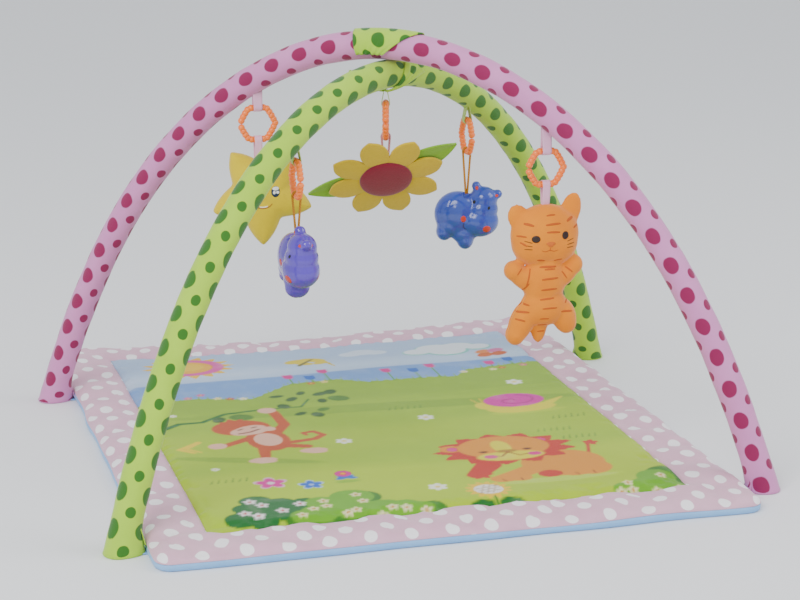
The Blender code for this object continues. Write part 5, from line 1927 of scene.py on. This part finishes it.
# ---------------------------------------------------------------- felt flower
# Eight yellow felt petals round a padded burgundy heart, with two leaves behind. It hangs
# by its back and looks down at the child.
FLOWER_FACE, FLOWER_HEADING = -41.0, -5.8
PETALS, PETAL_REACH, PETAL_VALLEY = 8, 0.0760, 0.0440
HEART_RADIUS, HEART_RISE = 0.0350, 0.0070
LEAF_ROOT, LEAF_REACH, LEAF_HALF = 0.020, 0.106, 0.0195


def felt(name, deep, light):
    """Pressed felt: matted fibres and a soft sheen."""
    material, tree, shader = plain(name, light, 0.95)
    place = add(tree, "ShaderNodeTexCoord").outputs["Object"]
    matted = add(
        tree,
        "ShaderNodeTexNoise",
        {"Vector": place, "Scale": 420.0, "Detail": 5.0, "Distortion": 1.2},
    )
    tree.links.new(
        blend_colour(tree, matted.outputs["Fac"], deep, light), shader.inputs["Base Color"]
    )
    bump = add(
        tree, "ShaderNodeBump", {"Height": matted.outputs["Fac"], "Distance": 0.0005, "Strength": 0.6}
    )
    tree.links.new(bump.outputs["Normal"], shader.inputs["Normal"])
    shader.inputs["Sheen Weight"].default_value = 0.3
    return material


flower_turn = Euler((radians(90 - FLOWER_FACE), 0, radians(FLOWER_HEADING - HANGERS["flower"][3])))
flower_matrix = (
    hanger_matrix("flower")
    @ Matrix.Translation((0, 0, -FLOWER_DROP))
    @ flower_turn.to_matrix().to_4x4()
)


def felt_sheet(name, grid, thickness, material, wraps):
    """A closed felt piece over a grid of points, with its edge rounded off."""
    rows, cols = len(grid), len(grid[0])
    points = [p + Vector((0, 0, thickness / 2)) for row in grid for p in row]
    points += [p - Vector((0, 0, thickness / 2)) for row in grid for p in row]
    half = rows * cols
    faces = []
    last = cols if wraps else cols - 1
    for i in range(rows - 1):
        for k in range(last):
            n = (k + 1) % cols
            a, b = i * cols + k, i * cols + n
            c, d = (i + 1) * cols + n, (i + 1) * cols + k
            faces += [(a, b, c, d), (d + half, c + half, b + half, a + half)]
    rim = [(rows - 1) * cols + k for k in range(cols)]
    if not wraps:
        rim = list(range(cols)) + [i * cols + cols - 1 for i in range(1, rows)] + rim[::-1][1:]
        rim += [i * cols for i in range(rows - 2, 0, -1)]
    for p, q in zip(rim, rim[1:] + rim[:1]):
        faces.append((p, q, q + half, p + half))
    if wraps:
        faces.append(tuple(range(cols))[::-1])
        faces.append(tuple(k + half for k in range(cols)))
    made = solid(name, [flower_matrix @ p for p in points], faces, material)
    faced_out(made)
    rounded = made.modifiers.new("edge", "BEVEL")
    rounded.width = thickness * 0.3
    rounded.segments = 2
    rounded.limit_method = "ANGLE"
    rounded.angle_limit = radians(50)
    applied(made)
    made.data.shade_smooth()
    return made


petal_felt = felt("yellow_felt", "BC9C00", "D6B600")
grid = []
for ring in (0.10, 0.25, 0.40, 0.55, 0.68, 0.79, 0.88, 0.95, 1.0):
    row = []
    for k in range(PETALS * 20):
        part = (k % 20) / 20
        arch = sin(pi * part)
        reach = PETAL_VALLEY + (PETAL_REACH - PETAL_VALLEY) * arch ** 0.62
        point_up = 0.0022 * max(0.0, 1 - abs(part - 0.5) * 9)
        a = 2 * pi * k / (PETALS * 20)
        r = (reach + point_up) * ring
        bend = -0.0050 * max(0.0, ring - 0.45) ** 1.5 * (0.4 + arch) + 0.0016 * arch * ring
        row.append(Vector((r * cos(a), r * sin(a), bend)))
    grid.append(row)
petals = felt_sheet("flower_petal_felt", grid, FELT, petal_felt, True)
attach(petals, "flower")
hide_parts("flower_petals")

heart_felt = felt("burgundy_felt", "6C0820", "8A0E2E")
points, faces = [], []
levels, sides = 10, 48
heart_base = FELT / 2 + 0.0004
for i in range(levels):
    share = cos(pi / 2 * i / levels)
    rise = HEART_RISE * sin(pi / 2 * i / levels) ** 0.8
    for k in range(sides):
        a = 2 * pi * k / sides
        reach = HEART_RADIUS * share
        points.append(Vector((reach * cos(a), reach * sin(a), heart_base + rise)))
points.append(Vector((0, 0, heart_base + HEART_RISE)))
for i in range(levels - 1):
    for k in range(sides):
        n = (k + 1) % sides
        faces.append((i * sides + k, i * sides + n, (i + 1) * sides + n, (i + 1) * sides + k))
for k in range(sides):
    faces.append(((levels - 1) * sides + k, (levels - 1) * sides + (k + 1) % sides, levels * sides))
faces.append(tuple(range(sides))[::-1])
heart = solid("flower_heart", [flower_matrix @ p for p in points], faces, heart_felt)
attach(heart, "flower")
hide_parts("flower_disc")

leaf_felt = felt("leaf_green_felt", "6A9C08", "84B41C")
for name, angle in (("right", 34), ("left", 201)):
    spin = Matrix.Rotation(radians(angle), 3, "Z")
    grid = []
    for i in range(15):
        part = i / 14
        half = LEAF_HALF * sin(pi * (0.14 + 0.855 * part)) ** 0.85
        x = LEAF_ROOT + (LEAF_REACH - LEAF_ROOT) * part
        row = []
        for k in range(11):
            w = 2 * k / 10 - 1
            z = -FELT - 0.0010 - 0.0012 * (1 - abs(w)) - 0.0030 * part**2
            row.append(spin @ Vector((x, half * w, z)))
        grid.append(row)
    leaf = felt_sheet(f"flower_leaf_{name}_felt", grid, FELT * 0.8, leaf_felt, False)
    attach(leaf, "flower")
    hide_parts(f"flower_leaf_{name}")
